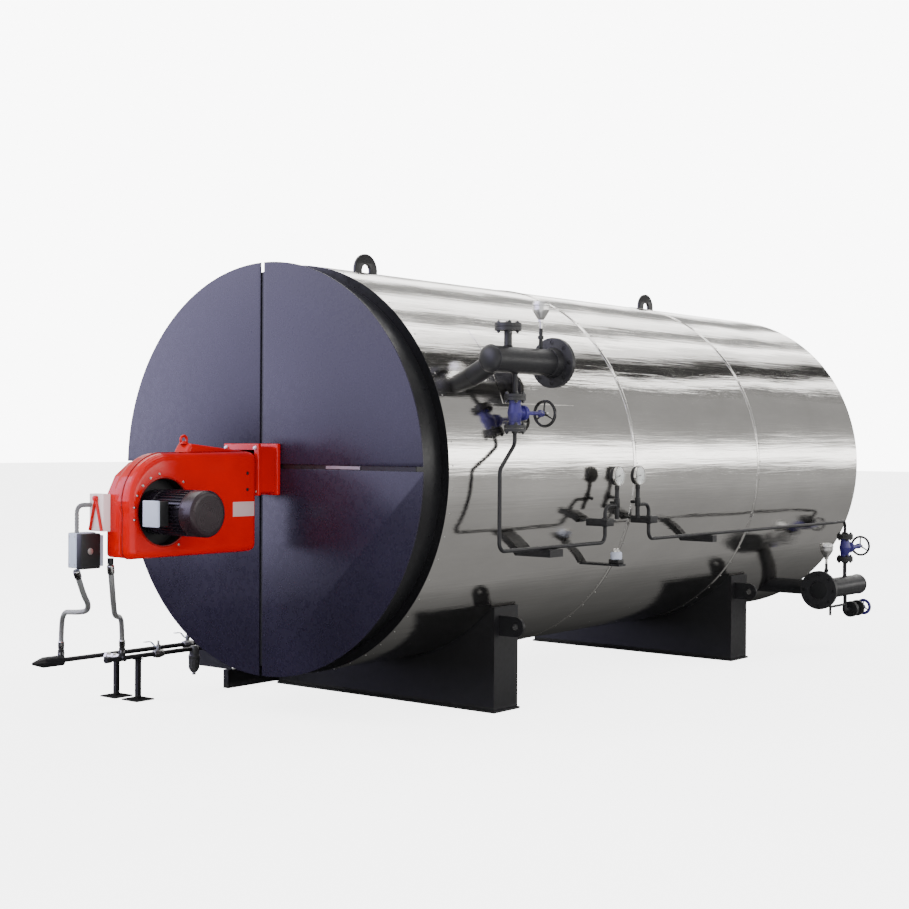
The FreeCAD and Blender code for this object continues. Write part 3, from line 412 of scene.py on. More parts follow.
class Piece:
    """Gathers the shapes of one piece, then hands it to the frame."""

    def __init__(self, name, body="boiler", slot="black_paint"):
        self.name, self.body, self.slot = name, body, slot
        self.bm = bmesh.new()
        self.finishes = []

    def finish(self, key):
        if key not in self.finishes:
            self.finishes.append(key)
        return self.finishes.index(key)

    def take(self, mesh, matrix, key):
        count = len(self.bm.faces)
        mesh.transform(matrix)
        self.bm.from_mesh(mesh)
        bpy.data.meshes.remove(mesh)
        number = self.finish(key)
        self.bm.faces.ensure_lookup_table()
        for face in self.bm.faces[count:]:
            face.material_index = number

    def faces_in(self, source, matrix, key):
        mesh = bpy.data.meshes.new("work")
        bmesh.ops.recalc_face_normals(source, faces=source.faces)
        source.to_mesh(mesh)
        source.free()
        self.take(mesh, matrix, key)

    def lathe(self, profile, at, way, key, steps=48, round_=0.0, arc=3):
        """Turned shape: profile of (radius, height) up the axis."""
        if round_:
            flat = eased([(r, h, 0) for r, h in profile], round_, steps=arc)
            profile = [(p[0], p[1]) for p in flat]
        work = bmesh.new()
        rows = []
        for r, h in profile:
            if r < 1e-6:
                rows.append([work.verts.new((0, 0, h))])
            else:
                rows.append([work.verts.new((x, y, h)) for x, y in ring_path(r, steps)])
        for low, high in zip(rows, rows[1:]):
            for i in range(steps):
                j = (i + 1) % steps
                a = low[i % len(low)], low[j % len(low)]
                b = high[j % len(high)], high[i % len(high)]
                corners = []
                for v in (*a, *b):
                    if v not in corners:
                        corners.append(v)
                if len(corners) > 2:
                    work.faces.new(corners)
        self.faces_in(work, Matrix.Translation(Vector(at)) @ facing(way), key)

    def drum(self, r, low, high, at, way, key, steps=40, round_=0.001):
        """Closed round bar or disc between two heights."""
        self.lathe([(0, low), (r, low), (r, high), (0, high)], at, way, key, steps, round_)

    def tube(self, outer, inner, low, high, at, way, key, steps=48, round_=0.001):
        profile = [(inner, low), (outer, low), (outer, high), (inner, high), (inner, low)]
        flat = eased([(r, h, 0) for r, h in profile], round_, steps=3)
        self.lathe([(p[0], p[1]) for p in flat], at, way, key, steps)

    def hoop(self, radius, thick, at, way, key, steps=64, sides=16):
        """Round bar bent into a closed ring."""
        line = [(radius + thick * math.cos(a), thick * math.sin(a))
                for a in [2 * math.pi * i / sides for i in range(sides)]]
        work = bmesh.new()
        rows = [[work.verts.new((x, y, h)) for x, y in ring_path(r, steps)] for r, h in line]
        for i, low in enumerate(rows):
            high = rows[(i + 1) % sides]
            for k in range(steps):
                m = (k + 1) % steps
                work.faces.new((low[k], low[m], high[m], high[k]))
        self.faces_in(work, Matrix.Translation(Vector(at)) @ facing(way), key)

    def block(self, low, high, key, round_=0.003, steps=3, turn=None):
        """Box between two corners with rounded edges."""
        low, high = Vector(low), Vector(high)
        size = high - low
        work = bmesh.new()
        bmesh.ops.create_cube(work, size=1.0)
        bmesh.ops.scale(work, vec=size, verts=work.verts)
        r = min(round_, 0.45 * min(size))
        if r > 1e-5:
            bmesh.ops.bevel(work, geom=work.edges[:], offset=r, segments=steps,
                            profile=0.5, affect="EDGES")
        matrix = Matrix.Translation((low + high) / 2)
        if turn:
            matrix = matrix @ turn
        self.faces_in(work, matrix, key)

    def plate(self, loops, low, high, along, key, round_=0.003, steps=3):
        """Flat plate with holes: outline loops in the plane across one axis."""
        axes = {"X": (Y, Z, X), "Y": (X, Z, -Y), "Z": (X, Y, Z)}[along]
        if along == "Y":
            low, high = -high, -low
        half = (high - low) / 2
        r = min(round_, 0.9 * half)
        line = bpy.data.curves.new("work", "CURVE")
        line.dimensions, line.fill_mode = "2D", "BOTH"
        line.extrude, line.bevel_depth, line.offset = half - r, r, -r
        line.bevel_resolution = steps - 1
        for loop in loops:
            spline = line.splines.new("POLY")
            spline.points.add(len(loop) - 1)
            for point, (u, v) in zip(spline.points, loop):
                point.co = (u, v, 0, 1)
            spline.use_cyclic_u = True
        holder = bpy.data.objects.new("work", line)
        bpy.context.scene.collection.objects.link(holder)
        graph = bpy.context.evaluated_depsgraph_get()
        mesh = bpy.data.meshes.new_from_object(holder.evaluated_get(graph))
        bpy.data.objects.remove(holder)
        bpy.data.curves.remove(line)
        work = bmesh.new()
        work.from_mesh(mesh)
        bpy.data.meshes.remove(mesh)
        bmesh.ops.remove_doubles(work, verts=work.verts, dist=1e-6)
        basis = Matrix((axes[0], axes[1], axes[2])).transposed().to_4x4()
        self.faces_in(work, basis @ Matrix.Translation((0, 0, (low + high) / 2)), key)

    def rod(self, points, radius, key, sides=14, cap=True):
        """Round bar along a line of points; radius may change from point to point."""
        pts = [Vector(p) for p in points]
        radii = radius if isinstance(radius, (list, tuple)) else [radius] * len(pts)
        work = bmesh.new()
        rows = []
        across = None
        for i, here in enumerate(pts):
            ahead = (pts[min(i + 1, len(pts) - 1)] - pts[max(i - 1, 0)]).normalized()
            if across is None:
                across = ahead.orthogonal().normalized()
            across = (across - ahead * across.dot(ahead)).normalized()
            other = ahead.cross(across)
            rows.append([work.verts.new(here + (across * math.cos(a) + other * math.sin(a))
                                        * radii[i])
                         for a in [2 * math.pi * k / sides for k in range(sides)]])
        for low, high in zip(rows, rows[1:]):
            for k in range(sides):
                m = (k + 1) % sides
                work.faces.new((low[k], low[m], high[m], high[k]))
        if cap:
            work.faces.new(rows[0][::-1])
            work.faces.new(rows[-1])
        self.faces_in(work, Matrix.Identity(4), key)

    def nut(self, at, way, flats, height, key, start=0.0):
        """Hexagon with eased corners standing on its face."""
        r = flats / math.sqrt(3)
        work = bmesh.new()
        rows = [[work.verts.new((x, y, h)) for x, y in ring_path(k * r, 6)]
                for k, h in ((0.93, 0.0), (1, 0.08 * height), (1, 0.86 * height),
                             (0.88, height))]
        for low, high in zip(rows, rows[1:]):
            for k in range(6):
                m = (k + 1) % 6
                work.faces.new((low[k], low[m], high[m], high[k]))
        work.faces.new(rows[0][::-1])
        work.faces.new(rows[-1])
        matrix = Matrix.Translation(Vector(at)) @ facing(way) @ Matrix.Translation(
            (0, 0, start))
        self.faces_in(work, matrix, key)

    def carve(self, r, low, high, at, way, key, steps=96):
        """Cuts a round pocket into the shapes gathered so far."""
        tool = Piece("pocket")
        tool.finishes = self.finishes
        tool.drum(r, low, high, at, way, key, steps, 0.0)
        holders = []
        for source in (self.bm, tool.bm):
            mesh = bpy.data.meshes.new("work")
            source.to_mesh(mesh)
            source.free()
            for name in self.finishes:
                mesh.materials.append(FINISHES[name])
            holders.append(bpy.data.objects.new("work", mesh))
            bpy.context.scene.collection.objects.link(holders[-1])
        cut = holders[0].modifiers.new("Pocket", "BOOLEAN")
        cut.operation, cut.solver, cut.object = "DIFFERENCE", "EXACT", holders[1]
        graph = bpy.context.evaluated_depsgraph_get()
        mesh = bpy.data.meshes.new_from_object(holders[0].evaluated_get(graph))
        self.bm = bmesh.new()
        self.bm.from_mesh(mesh)
        for holder in holders:
            bpy.data.objects.remove(holder)

    def done(self, *replaces, crease=32.0):
        mesh = bpy.data.meshes.new(self.name)
        bmesh.ops.remove_doubles(self.bm, verts=self.bm.verts, dist=1e-7)
        self.bm.to_mesh(mesh)
        self.bm.free()
        for key in self.finishes:
            mesh.materials.append(FINISHES[key])
        mesh.shade_smooth()
        mesh.set_sharp_from_angle(angle=math.radians(crease))
        return settle(mesh, self.name, self.body, replaces)


def settle(mesh, name, body, replaces=()):
    """Puts a finished mesh into the scene and ties it to its body."""
    obj = bpy.data.objects.new(name, mesh)
    bpy.context.scene.collection.objects.link(obj)
    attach(obj, body)
    if replaces:
        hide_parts(*replaces)
    return obj


def coat_node(node, key):
    """Gives a kept CAD node its finished material."""
    obj = frame["nodes"][node]
    obj.data.materials.clear()
    obj.data.materials.append(FINISHES[key])
    return obj


# ---------------------------------------------------------------- repeated hardware

def new_tree(title, inputs):
    tree = bpy.data.node_groups.new(title, "GeometryNodeTree")
    tree.interface.new_socket("Geometry", in_out="INPUT", socket_type="NodeSocketGeometry")
    tree.interface.new_socket("Geometry", in_out="OUTPUT", socket_type="NodeSocketGeometry")
    for label, default in inputs.items():
        kind = "NodeSocketInt" if isinstance(default, int) else "NodeSocketFloat"
        if default is None:
            kind = "NodeSocketMaterial"
        socket = tree.interface.new_socket(label, in_out="INPUT", socket_type=kind)
        if default is not None:
            socket.default_value = default
    return tree


def placing_tree(title, inputs, build):
    """A tree that stands one made item on every point, along the point's own directions."""
    tree = new_tree(title, {**inputs, "Finish": None})
    nodes, link = tree.nodes, tree.links.new
    enter, leave = nodes.new("NodeGroupInput"), nodes.new("NodeGroupOutput")
    points = nodes.new("GeometryNodeMeshToPoints")
    link(enter.outputs["Geometry"], points.inputs["Mesh"])
    turns = []
    for label, axis, pivot in (("facing", "Z", "AUTO"), ("along", "Y", "Z")):
        read = nodes.new("GeometryNodeInputNamedAttribute")
        read.data_type = "FLOAT_VECTOR"
        read.inputs["Name"].default_value = label
        turn = nodes.new("FunctionNodeAlignRotationToVector")
        turn.axis, turn.pivot_axis = axis, pivot
        link(read.outputs["Attribute"], turn.inputs["Vector"])
        if turns:
            link(turns[-1].outputs["Rotation"], turn.inputs["Rotation"])
        turns.append(turn)
    girth = nodes.new("GeometryNodeInputNamedAttribute")
    girth.data_type = "FLOAT"
    girth.inputs["Name"].default_value = "girth"
    place = nodes.new("GeometryNodeInstanceOnPoints")
    link(points.outputs["Points"], place.inputs["Points"])
    link(build(nodes, link, enter), place.inputs["Instance"])
    link(turns[-1].outputs["Rotation"], place.inputs["Rotation"])
    link(girth.outputs["Attribute"], place.inputs["Scale"])
    real = nodes.new("GeometryNodeRealizeInstances")
    link(place.outputs["Instances"], real.inputs["Geometry"])
    paint = nodes.new("GeometryNodeSetMaterial")
    link(real.outputs["Geometry"], paint.inputs["Geometry"])
    link(enter.outputs["Finish"], paint.inputs["Material"])
    link(paint.outputs["Geometry"], leave.inputs["Geometry"])
    return tree


def lifted(nodes, link, mesh, height, share):
    """Moves a part of the item up by a share of a size."""
    times = nodes.new("ShaderNodeMath")
    times.operation = "MULTIPLY"
    link(height, times.inputs[0])
    times.inputs[1].default_value = share
    up = nodes.new("ShaderNodeCombineXYZ")
    link(times.outputs[0], up.inputs["Z"])
    move = nodes.new("GeometryNodeTransform")
    link(mesh, move.inputs["Geometry"])
    link(up.outputs[0], move.inputs["Translation"])
    return move.outputs["Geometry"]


def scaled(nodes, link, value, share):
    times = nodes.new("ShaderNodeMath")
    times.operation = "MULTIPLY"
    link(value, times.inputs[0])
    times.inputs[1].default_value = share
    return times.outputs[0]


def bolt_tree():
    def build(nodes, link, enter):
        flats, head = enter.outputs["Corner Radius"], enter.outputs["Head Height"]
        join = nodes.new("GeometryNodeJoinGeometry")
        hexagon = nodes.new("GeometryNodeMeshCylinder")
        hexagon.inputs["Vertices"].default_value = 6
        link(flats, hexagon.inputs["Radius"])
        link(head, hexagon.inputs["Depth"])
        link(lifted(nodes, link, hexagon.outputs["Mesh"], head, 0.5), join.inputs[0])
        crown = nodes.new("GeometryNodeMeshCone")
        crown.inputs["Vertices"].default_value = 12
        link(scaled(nodes, link, flats, 0.62), crown.inputs["Radius Top"])
        link(scaled(nodes, link, flats, 0.84), crown.inputs["Radius Bottom"])
        link(scaled(nodes, link, head, 0.14), crown.inputs["Depth"])
        link(lifted(nodes, link, crown.outputs["Mesh"], head, 1.0), join.inputs[0])
        stud = nodes.new("GeometryNodeMeshCylinder")
        stud.inputs["Vertices"].default_value = 12
        link(scaled(nodes, link, flats, 0.48), stud.inputs["Radius"])
        link(enter.outputs["Stud Height"], stud.inputs["Depth"])
        raised = nodes.new("ShaderNodeMath")
        raised.operation = "MULTIPLY_ADD"
        link(enter.outputs["Stud Height"], raised.inputs[0])
        raised.inputs[1].default_value = 0.5
        link(head, raised.inputs[2])
        link(lifted(nodes, link, stud.outputs["Mesh"], raised.outputs[0], 1.0),
             join.inputs[0])
        washer = nodes.new("GeometryNodeMeshCylinder")
        washer.inputs["Vertices"].default_value = 20
        link(scaled(nodes, link, flats, 1.12), washer.inputs["Radius"])
        link(scaled(nodes, link, head, 0.18), washer.inputs["Depth"])
        link(lifted(nodes, link, washer.outputs["Mesh"], head, 0.09), join.inputs[0])
        return join.outputs["Geometry"]
    return placing_tree("Hex Bolts", {"Corner Radius": 0.01, "Head Height": 0.009,
                                      "Stud Height": 0.006}, build)


def rivet_tree():
    def build(nodes, link, enter):
        ball = nodes.new("GeometryNodeMeshUVSphere")
        ball.inputs["Segments"].default_value = 12
        ball.inputs["Rings"].default_value = 6
        link(enter.outputs["Radius"], ball.inputs["Radius"])
        flat = nodes.new("GeometryNodeTransform")
        flat.inputs["Scale"].default_value = (1, 1, 0.55)
        link(ball.outputs["Mesh"], flat.inputs["Geometry"])
        smooth = nodes.new("GeometryNodeSetShadeSmooth")
        link(flat.outputs["Geometry"], smooth.inputs["Geometry"])
        return smooth.outputs["Geometry"]
    return placing_tree("Sheet Rivets", {"Radius": 0.0045}, build)


def fin_tree():
    def build(nodes, link, enter):
        size = nodes.new("ShaderNodeCombineXYZ")
        link(enter.outputs["Thickness"], size.inputs["X"])
        link(enter.outputs["Length"], size.inputs["Y"])
        link(enter.outputs["Height"], size.inputs["Z"])
        bar = nodes.new("GeometryNodeMeshCube")
        link(size.outputs[0], bar.inputs["Size"])
        return lifted(nodes, link, bar.outputs["Mesh"], enter.outputs["Height"], 0.5)
    return placing_tree("Straight Bars", {"Thickness": 0.003, "Length": 0.1,
                                          "Height": 0.01}, build)


def scatter(tree, name, body, slot, key, spots, replaces=(), **sizes):
    """Runs a placing tree over (place, facing, along, girth) spots and keeps the mesh."""
    mesh = bpy.data.meshes.new(f"{name}_spots")
    mesh.from_pydata([tuple(s[0]) for s in spots], [], [])
    for label, index in (("facing", 1), ("along", 2)):
        layer = mesh.attributes.new(label, "FLOAT_VECTOR", "POINT")
        layer.data.foreach_set("vector", [c for s in spots for c in s[index]])
    layer = mesh.attributes.new("girth", "FLOAT", "POINT")
    layer.data.foreach_set("value", [s[3] for s in spots])
    holder = bpy.data.objects.new(f"{name}_spots", mesh)
    bpy.context.scene.collection.objects.link(holder)
    modifier = holder.modifiers.new("Place", "NODES")
    modifier.node_group = tree
    wanted = {key_.replace("_", " ").title(): value for key_, value in sizes.items()}
    wanted["Finish"] = FINISHES[key]
    for item in tree.interface.items_tree:
        if item.item_type == "SOCKET" and item.in_out == "INPUT" and item.name in wanted:
            modifier[item.identifier] = wanted[item.name]
    graph = bpy.context.evaluated_depsgraph_get()
    result = bpy.data.meshes.new_from_object(holder.evaluated_get(graph))
    holder.modifiers.remove(modifier)
    bpy.data.objects.remove(holder)
    result.name = name
    if not result.polygons:
        raise RuntimeError(f"{name} came out empty")
    if not result.materials:
        result.materials.append(FINISHES[key])
    return settle(result, name, body, replaces)


def round_spots(at, way, radius, count, start=0.0, lift=0.0, girth=1.0):
    """Spots on a bolt circle, facing along its axis."""
    turn = facing(way)
    out = turn.to_3x3() @ Z
    made = []
    for x, y in ring_path(radius, count, start):
        arm = turn.to_3x3() @ Vector((x, y, 0))
        made.append((Vector(at) + arm + out * lift, out, arm.normalized(), girth))
    return made


# ---------------------------------------------------------------- studio

LENS, SENSOR = 62.26, 36.0
CAMERA_AT = (5.975, -6.988, 1.498)
CAMERA_TURN = (38.34, -0.546, 0.361)
SKY_LIGHT, SKY_SEEN, FLOOR_GLOW = 1.1, 9.0, 4.0
TENT_REACH, TENT_ENDS, LEAN_FROM = 9.0, (-2.5, 45.0), 13.0
TENT_BANDS = (
    (-176, 0.3), (-100, 0.3), (-84, 0.3), (-10, 0.38), (-3, 0.5), (2, 2.4), (6, 5.0),
    (10, 5.0), (14, 1.6), (20, 0.50), (28, 0.42), (38, 0.40), (46, 0.42), (50, 0.22),
    (52.5, 0.8), (55, 4.5), (58, 3.0), (60.5, 0.30), (63, 0.06), (72, 0.05), (75, 0.3),
    (78, 1.0), (82, 3.4), (85, 0.8), (88, 4.5), (92, 5.0), (95, 1.2), (98, 0.45),
    (103, 0.40), (106, 0.9), (109, 5.0), (113, 1.4), (116, 6.0), (120, 3.0), (124, 0.7),
    (128, 0.3), (132, 0.55), (136, 0.35), (139, 1.2), (143, 5.0), (150, 4.0), (156, 1.2),
    (162, 0.6), (168, 1.6), (180, 0.9),
)
FLOOR_BANDS = (
    (-2.5, 0.01), (0.0, 0.03), (0.4, 0.06), (0.6, 0.09), (0.8, 0.12), (1.0, 0.17),
    (1.2, 0.26), (1.8, 0.29), (2.6, 0.30), (3.3, 0.33), (4.6, 0.40), (7.3, 0.50),
    (9.0, 0.55),
)


class BOILER_OT_studio(bpy.types.Operator):
    """Pale floor, soft light, a tent of light bands and the camera"""
    bl_idname = "boiler.studio"
    bl_label = "Studio"

    def execute(self, context):
        scene = context.scene
        lens = bpy.data.cameras.new("Camera")
        lens.lens, lens.sensor_width = LENS, SENSOR
        lens.clip_end = 300
        camera = bpy.data.objects.new("Camera", lens)
        scene.collection.objects.link(camera)
        turn, pitch, roll = (math.radians(v) for v in CAMERA_TURN)
        camera.matrix_world = (
            Matrix.Translation(CAMERA_AT) @ Matrix.Rotation(turn, 4, "Z")
            @ Matrix.Rotation(math.pi / 2 + pitch, 4, "X") @ Matrix.Rotation(roll, 4, "Z"))
        scene.camera = camera

        world = bpy.data.worlds.new("Studio")
        world.use_nodes = True
        scene.world = world
        sky = world.node_tree.nodes["Background"]
        sky.inputs["Color"].default_value = (1.0, 1.0, 1.0, 1)
        seen = world.node_tree.nodes.new("ShaderNodeLightPath")
        level = world.node_tree.nodes.new("ShaderNodeMapRange")
        level.inputs["To Min"].default_value = SKY_LIGHT
        level.inputs["To Max"].default_value = SKY_SEEN
        world.node_tree.links.new(seen.outputs["Is Camera Ray"], level.inputs["Value"])
        world.node_tree.links.new(level.outputs["Result"], sky.inputs["Strength"])

        floor = Piece("studio_floor")
        floor.block((-70, -70, -0.05), (70, 70, 0.0), "floor", 0.0)
        self.keep(floor)
        self.tent()
        front = [[((x / 4, -6.4, z / 8), self.front_level(x / 4, z / 8))
                  for z in (*range(0, 33), 72)] for x in range(-64, 7)]
        self.glowing("front_glow", front, (0.70, 0.66, 1.0))
        self.glowing("front_floor", [[((x, y, 0.03), 0.012) for y in (-6.3, -1.3)]
                                     for x in (-9.0, 1.6)])
        for title, place, aim, size, power in (
            ("key", (-5.5, -9.0, 8.5), (0, 0, 1.2), 5.0, 900),
            ("fill", (9.0, -4.0, 5.0), (0.5, 1.0, 1.0), 5.0, 420),
            ("front", (-2.2, -9.5, 2.6), (0, -1.2, 1.2), 2.2, 110),
            ("rear", (5.0, 10.0, 6.0), (0, 2.5, 1.0), 5.0, 380),
        ):
            lamp = bpy.data.lights.new(title, "AREA")
            lamp.shape, lamp.size, lamp.energy = "DISK", size, power
            light = bpy.data.objects.new(title, lamp)
            light.visible_glossy = title in ("key", "front")
            scene.collection.objects.link(light)
            light.matrix_world = (Matrix.Translation(place)
                                  @ facing(Vector(place) - Vector(aim)))
        return {"FINISHED"}

    def keep(self, piece):
        mesh = bpy.data.meshes.new(piece.name)
        piece.bm.to_mesh(mesh)
        piece.bm.free()
        mesh.materials.append(FINISHES[piece.finishes[0]])
        obj = bpy.data.objects.new(piece.name, mesh)
        bpy.context.scene.collection.objects.link(obj)
        return obj

    def front_level(self, x, z):
        """Brightness before the front cover: high on the left, dark low on the right."""
        left = min(max((-3.5 - x) / 3.5, 0), 1)
        far = min(max((-4.6 - x) / 1.8, 0), 1)
        rise = min(max((z - 1.0) / 0.30, 0), 1)
        return 5.6 * (rise * (0.70 + 0.30 * left) + (1 - rise) * 0.7 * far) + 0.01

    def hide_but_reflect(self, obj):
        for ray in ("camera", "diffuse", "shadow", "transmission", "volume_scatter"):
            setattr(obj, f"visible_{ray}", False)

    def tent(self):
        """Bands of light along the drum, seen only in reflections."""
        low, high = span("cladding_courses")
        middle = (low.z + high.z) / 2
        rows = []
        for degrees in range(-176, 181):
            lean = 1.2 * min(max((degrees - 30) / 30, 0), 1)
            row = []
            for y in TENT_ENDS:
                a = math.radians(degrees + lean * (y - LEAN_FROM))
                place = (TENT_REACH * math.cos(a), y, middle + TENT_REACH * math.sin(a))
                row.append((place, self.band(TENT_BANDS, degrees)))
            rows.append(row)
        self.glowing("light_tent", rows)
        self.glowing("floor_glow", [[((x, y, 0.03), level) for y in (-1.3, TENT_ENDS[1])]
                                    for x, level in FLOOR_BANDS])

    def glowing(self, title, rows, colour=(1.0, 0.985, 0.96)):
        """Sheet seen only in reflections, from rows of places with a level at each."""
        n = Nodes(title)
        level = n.add("ShaderNodeAttribute")
        level.attribute_name = "level"
        glow = n.add("ShaderNodeEmission", Color=(*colour, 1))
        n.link(level.outputs["Fac"], glow.inputs["Strength"])
        n.link(glow.outputs[0], n.tree.nodes["Material Output"].inputs["Surface"])
        FINISHES[title] = n.material
        work = Piece(title)
        work.finish(title)
        layer = work.bm.verts.layers.float.new("level")
        made = []
        for row in rows:
            made.append([work.bm.verts.new(place) for place, _ in row])
            for vert, (_, value) in zip(made[-1], row):
                vert[layer] = value
        for one, two in zip(made, made[1:]):
            for a, b, c, d in zip(one, one[1:], two[1:], two):
                work.bm.faces.new((a, b, c, d))
        self.hide_but_reflect(self.keep(work))

    def band(self, bands, at):
        for (a, low), (b, high) in zip(bands, bands[1:]):
            if a <= at <= b:
                return low + (high - low) * (at - a) / (b - a)
        return bands[-1][1]


# ---------------------------------------------------------------- hoses

HOSE_ROUTES = {
    "left_hose": (1.547, (
        (-0.120, -2.201, 0.858), (-0.150, -2.135, 0.735), (-0.320, -1.967, 0.665),
        (-0.460, -1.864, 0.611), (-0.660, -1.764, 0.582), (-0.860, -1.659, 0.560),
        (-1.050, -1.550, 0.537), (-1.183, -1.468, 0.462), (-1.190, -1.463, 0.313))),
    "right_hose": (1.542, (
        (-0.033, -2.065, 0.881), (-0.048, -2.040, 0.750), (-0.220, -1.890, 0.650),
        (-0.430, -1.710, 0.580), (-0.640, -1.520, 0.540), (-0.830, -1.345, 0.510),
        (-0.975, -1.210, 0.455), (-1.000, -1.187, 0.314))),
}


def spline_line(points):
    """The smooth line of a NURBS curve over the given points."""
    line = bpy.data.curves.new("route", "CURVE")
    line.dimensions, line.resolution_u = "3D", 24
    spline = line.splines.new("NURBS")
    spline.points.add(len(points) - 1)
    for point, place in zip(spline.points, points):
        point.co = (*place, 1)
    spline.use_endpoint_u = True
    spline.order_u = 3
    holder = bpy.data.objects.new("route", line)
    bpy.context.scene.collection.objects.link(holder)
    graph = bpy.context.evaluated_depsgraph_get()
    mesh = bpy.data.meshes.new_from_object(holder.evaluated_get(graph))
    path = [v.co.copy() for v in mesh.vertices]
    bpy.data.meshes.remove(mesh)
    bpy.data.objects.remove(holder)
    return path


class BOILER_OT_hoses(bpy.types.Operator):
    """Two braided oil hoses between the burner and the oil lines"""
    bl_idname = "boiler.hoses"
    bl_label = "Oil Hoses"

    def execute(self, context):
        sizes = context.scene.boiler_sizes
        for node, (length, points) in HOSE_ROUTES.items():
            path = spline_line(points)
            ends = Piece(f"{node}_ends", slot="bare_steel")
            for start, ahead in ((path[0], path[3]), (path[-1], path[-4])):
                way = (ahead - start).normalized()
                ends.lathe([(0, 0), (0.0155, 0), (0.0178, 0.004), (0.0178, 0.040),
                            (0.0155, 0.045), (0, 0.045)], start, way, "bright_steel", 24,
                           0.0008)
            collars = ends.done()
            hose = self.sleeve(node, path, sizes.hose_radius)
            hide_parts(node)
        return {"FINISHED"}

    def sleeve(self, node, path, radius, sides=20):
        """Round tube along the line with its length and turn as coordinates."""
        mesh = bpy.data.meshes.new(f"{node}_braid")
        verts, faces, marks = [], [], []
        across, run = None, [0.0]
        for a, b in zip(path, path[1:]):
            run.append(run[-1] + (b - a).length)
        for i, here in enumerate(path):
            ahead = (path[min(i + 1, len(path) - 1)] - path[max(i - 1, 0)]).normalized()
            across = across or ahead.orthogonal().normalized()
            across = (across - ahead * across.dot(ahead)).normalized()
            other = ahead.cross(across)
            for k in range(sides):
                a = 2 * math.pi * k / sides
                verts.append(here + (across * math.cos(a) + other * math.sin(a)) * radius)
        for i in range(len(path) - 1):
            for k in range(sides):
                m = (k + 1) % sides
                faces.append((i * sides + k, i * sides + m, (i + 1) * sides + m,
                              (i + 1) * sides + k))
                u0, u1 = (2 * math.pi * radius * t / sides for t in (k, k + 1))
                marks += [(u0, run[i]), (u1, run[i]), (u1, run[i + 1]), (u0, run[i + 1])]
        last = (len(path) - 1) * sides
        faces += [tuple(range(sides))[::-1], tuple(range(last, last + sides))]
        marks += [(0, 0)] * (2 * sides)
        mesh.from_pydata(verts, [], faces)
        layer = mesh.uv_layers.new(name="along")
        for spot, mark in zip(layer.data, marks):
            spot.uv = mark
        mesh.materials.append(FINISHES["braid"])
        mesh.shade_smooth()
        mesh.set_sharp_from_angle(angle=math.radians(60))
        return settle(mesh, f"{node}_braid", "boiler")


# ---------------------------------------------------------------- drum

class BOILER_OT_cladding(bpy.types.Operator):
    """Three bright stainless courses with rolled beads and rivets"""
    bl_idname = "boiler.cladding"
    bl_label = "Cladding"

    first_seam: FloatProperty(name="First seam", description="Share of the length",
                              default=0.3568, min=0.1, max=0.9)
    second_seam: FloatProperty(name="Second seam", description="Share of the length",
                               default=0.6750, min=0.1, max=0.9)

    def execute(self, context):
        sizes = context.scene.boiler_sizes
        low, high = span("cladding_courses")
        r, mid = (high.x - low.x) / 2, (low.z + high.z) / 2
        long = high.y - low.y
        cuts = [0, self.first_seam * long, self.second_seam * long, long]
        sheets = Piece("cladding_sheets", slot="cladding")
        bead, skin = sizes.sheet_bead, 0.0014
        for number, (start, end) in enumerate(zip(cuts, cuts[1:])):
            line = [(r - skin, start), (r, start)]
            if number:
                line += [(r, start + 0.012), (r + bead, start + 0.018),
                         (r + bead, start + 0.024), (r, start + 0.030)]
            steps = 8
            line += [(r, start + 0.04 + (end - start - 0.06) * k / steps)
                     for k in range(steps + 1)]
            line += [(r, end - 0.001), (r - skin, end - 0.001), (r - skin, start)]
            sheets.lathe(line, (0, low.y, mid), "Y", "cladding", 256)
        obj = sheets.done("cladding_courses", crease=50)
        layer = obj.data.attributes.new("course", "FLOAT", "POINT")
        for spot, vert in zip(layer.data, obj.data.vertices):
            at = vert.co.y - low.y
            spot.value = 0.0 if at < cuts[1] else 7.3 if at < cuts[2] else 15.1
        spots = []
        count = int(2 * math.pi * r / sizes.rivet_pitch)
        for at in (0.03, cuts[1] + 0.045, cuts[2] + 0.045, long - 0.03):
            spots += [((x, low.y + at, mid + z), Vector((x, 0, z)).normalized(), Y, 1.0)
                      for x, z in ring_path(r, count, 0.03)]
        scatter(rivet_tree(), "cladding_rivets", "boiler", "cladding", "dull_steel", spots,
                radius=sizes.rivet_radius)
        coat_node("nozzle_flashing", "cladding")
        return {"FINISHED"}


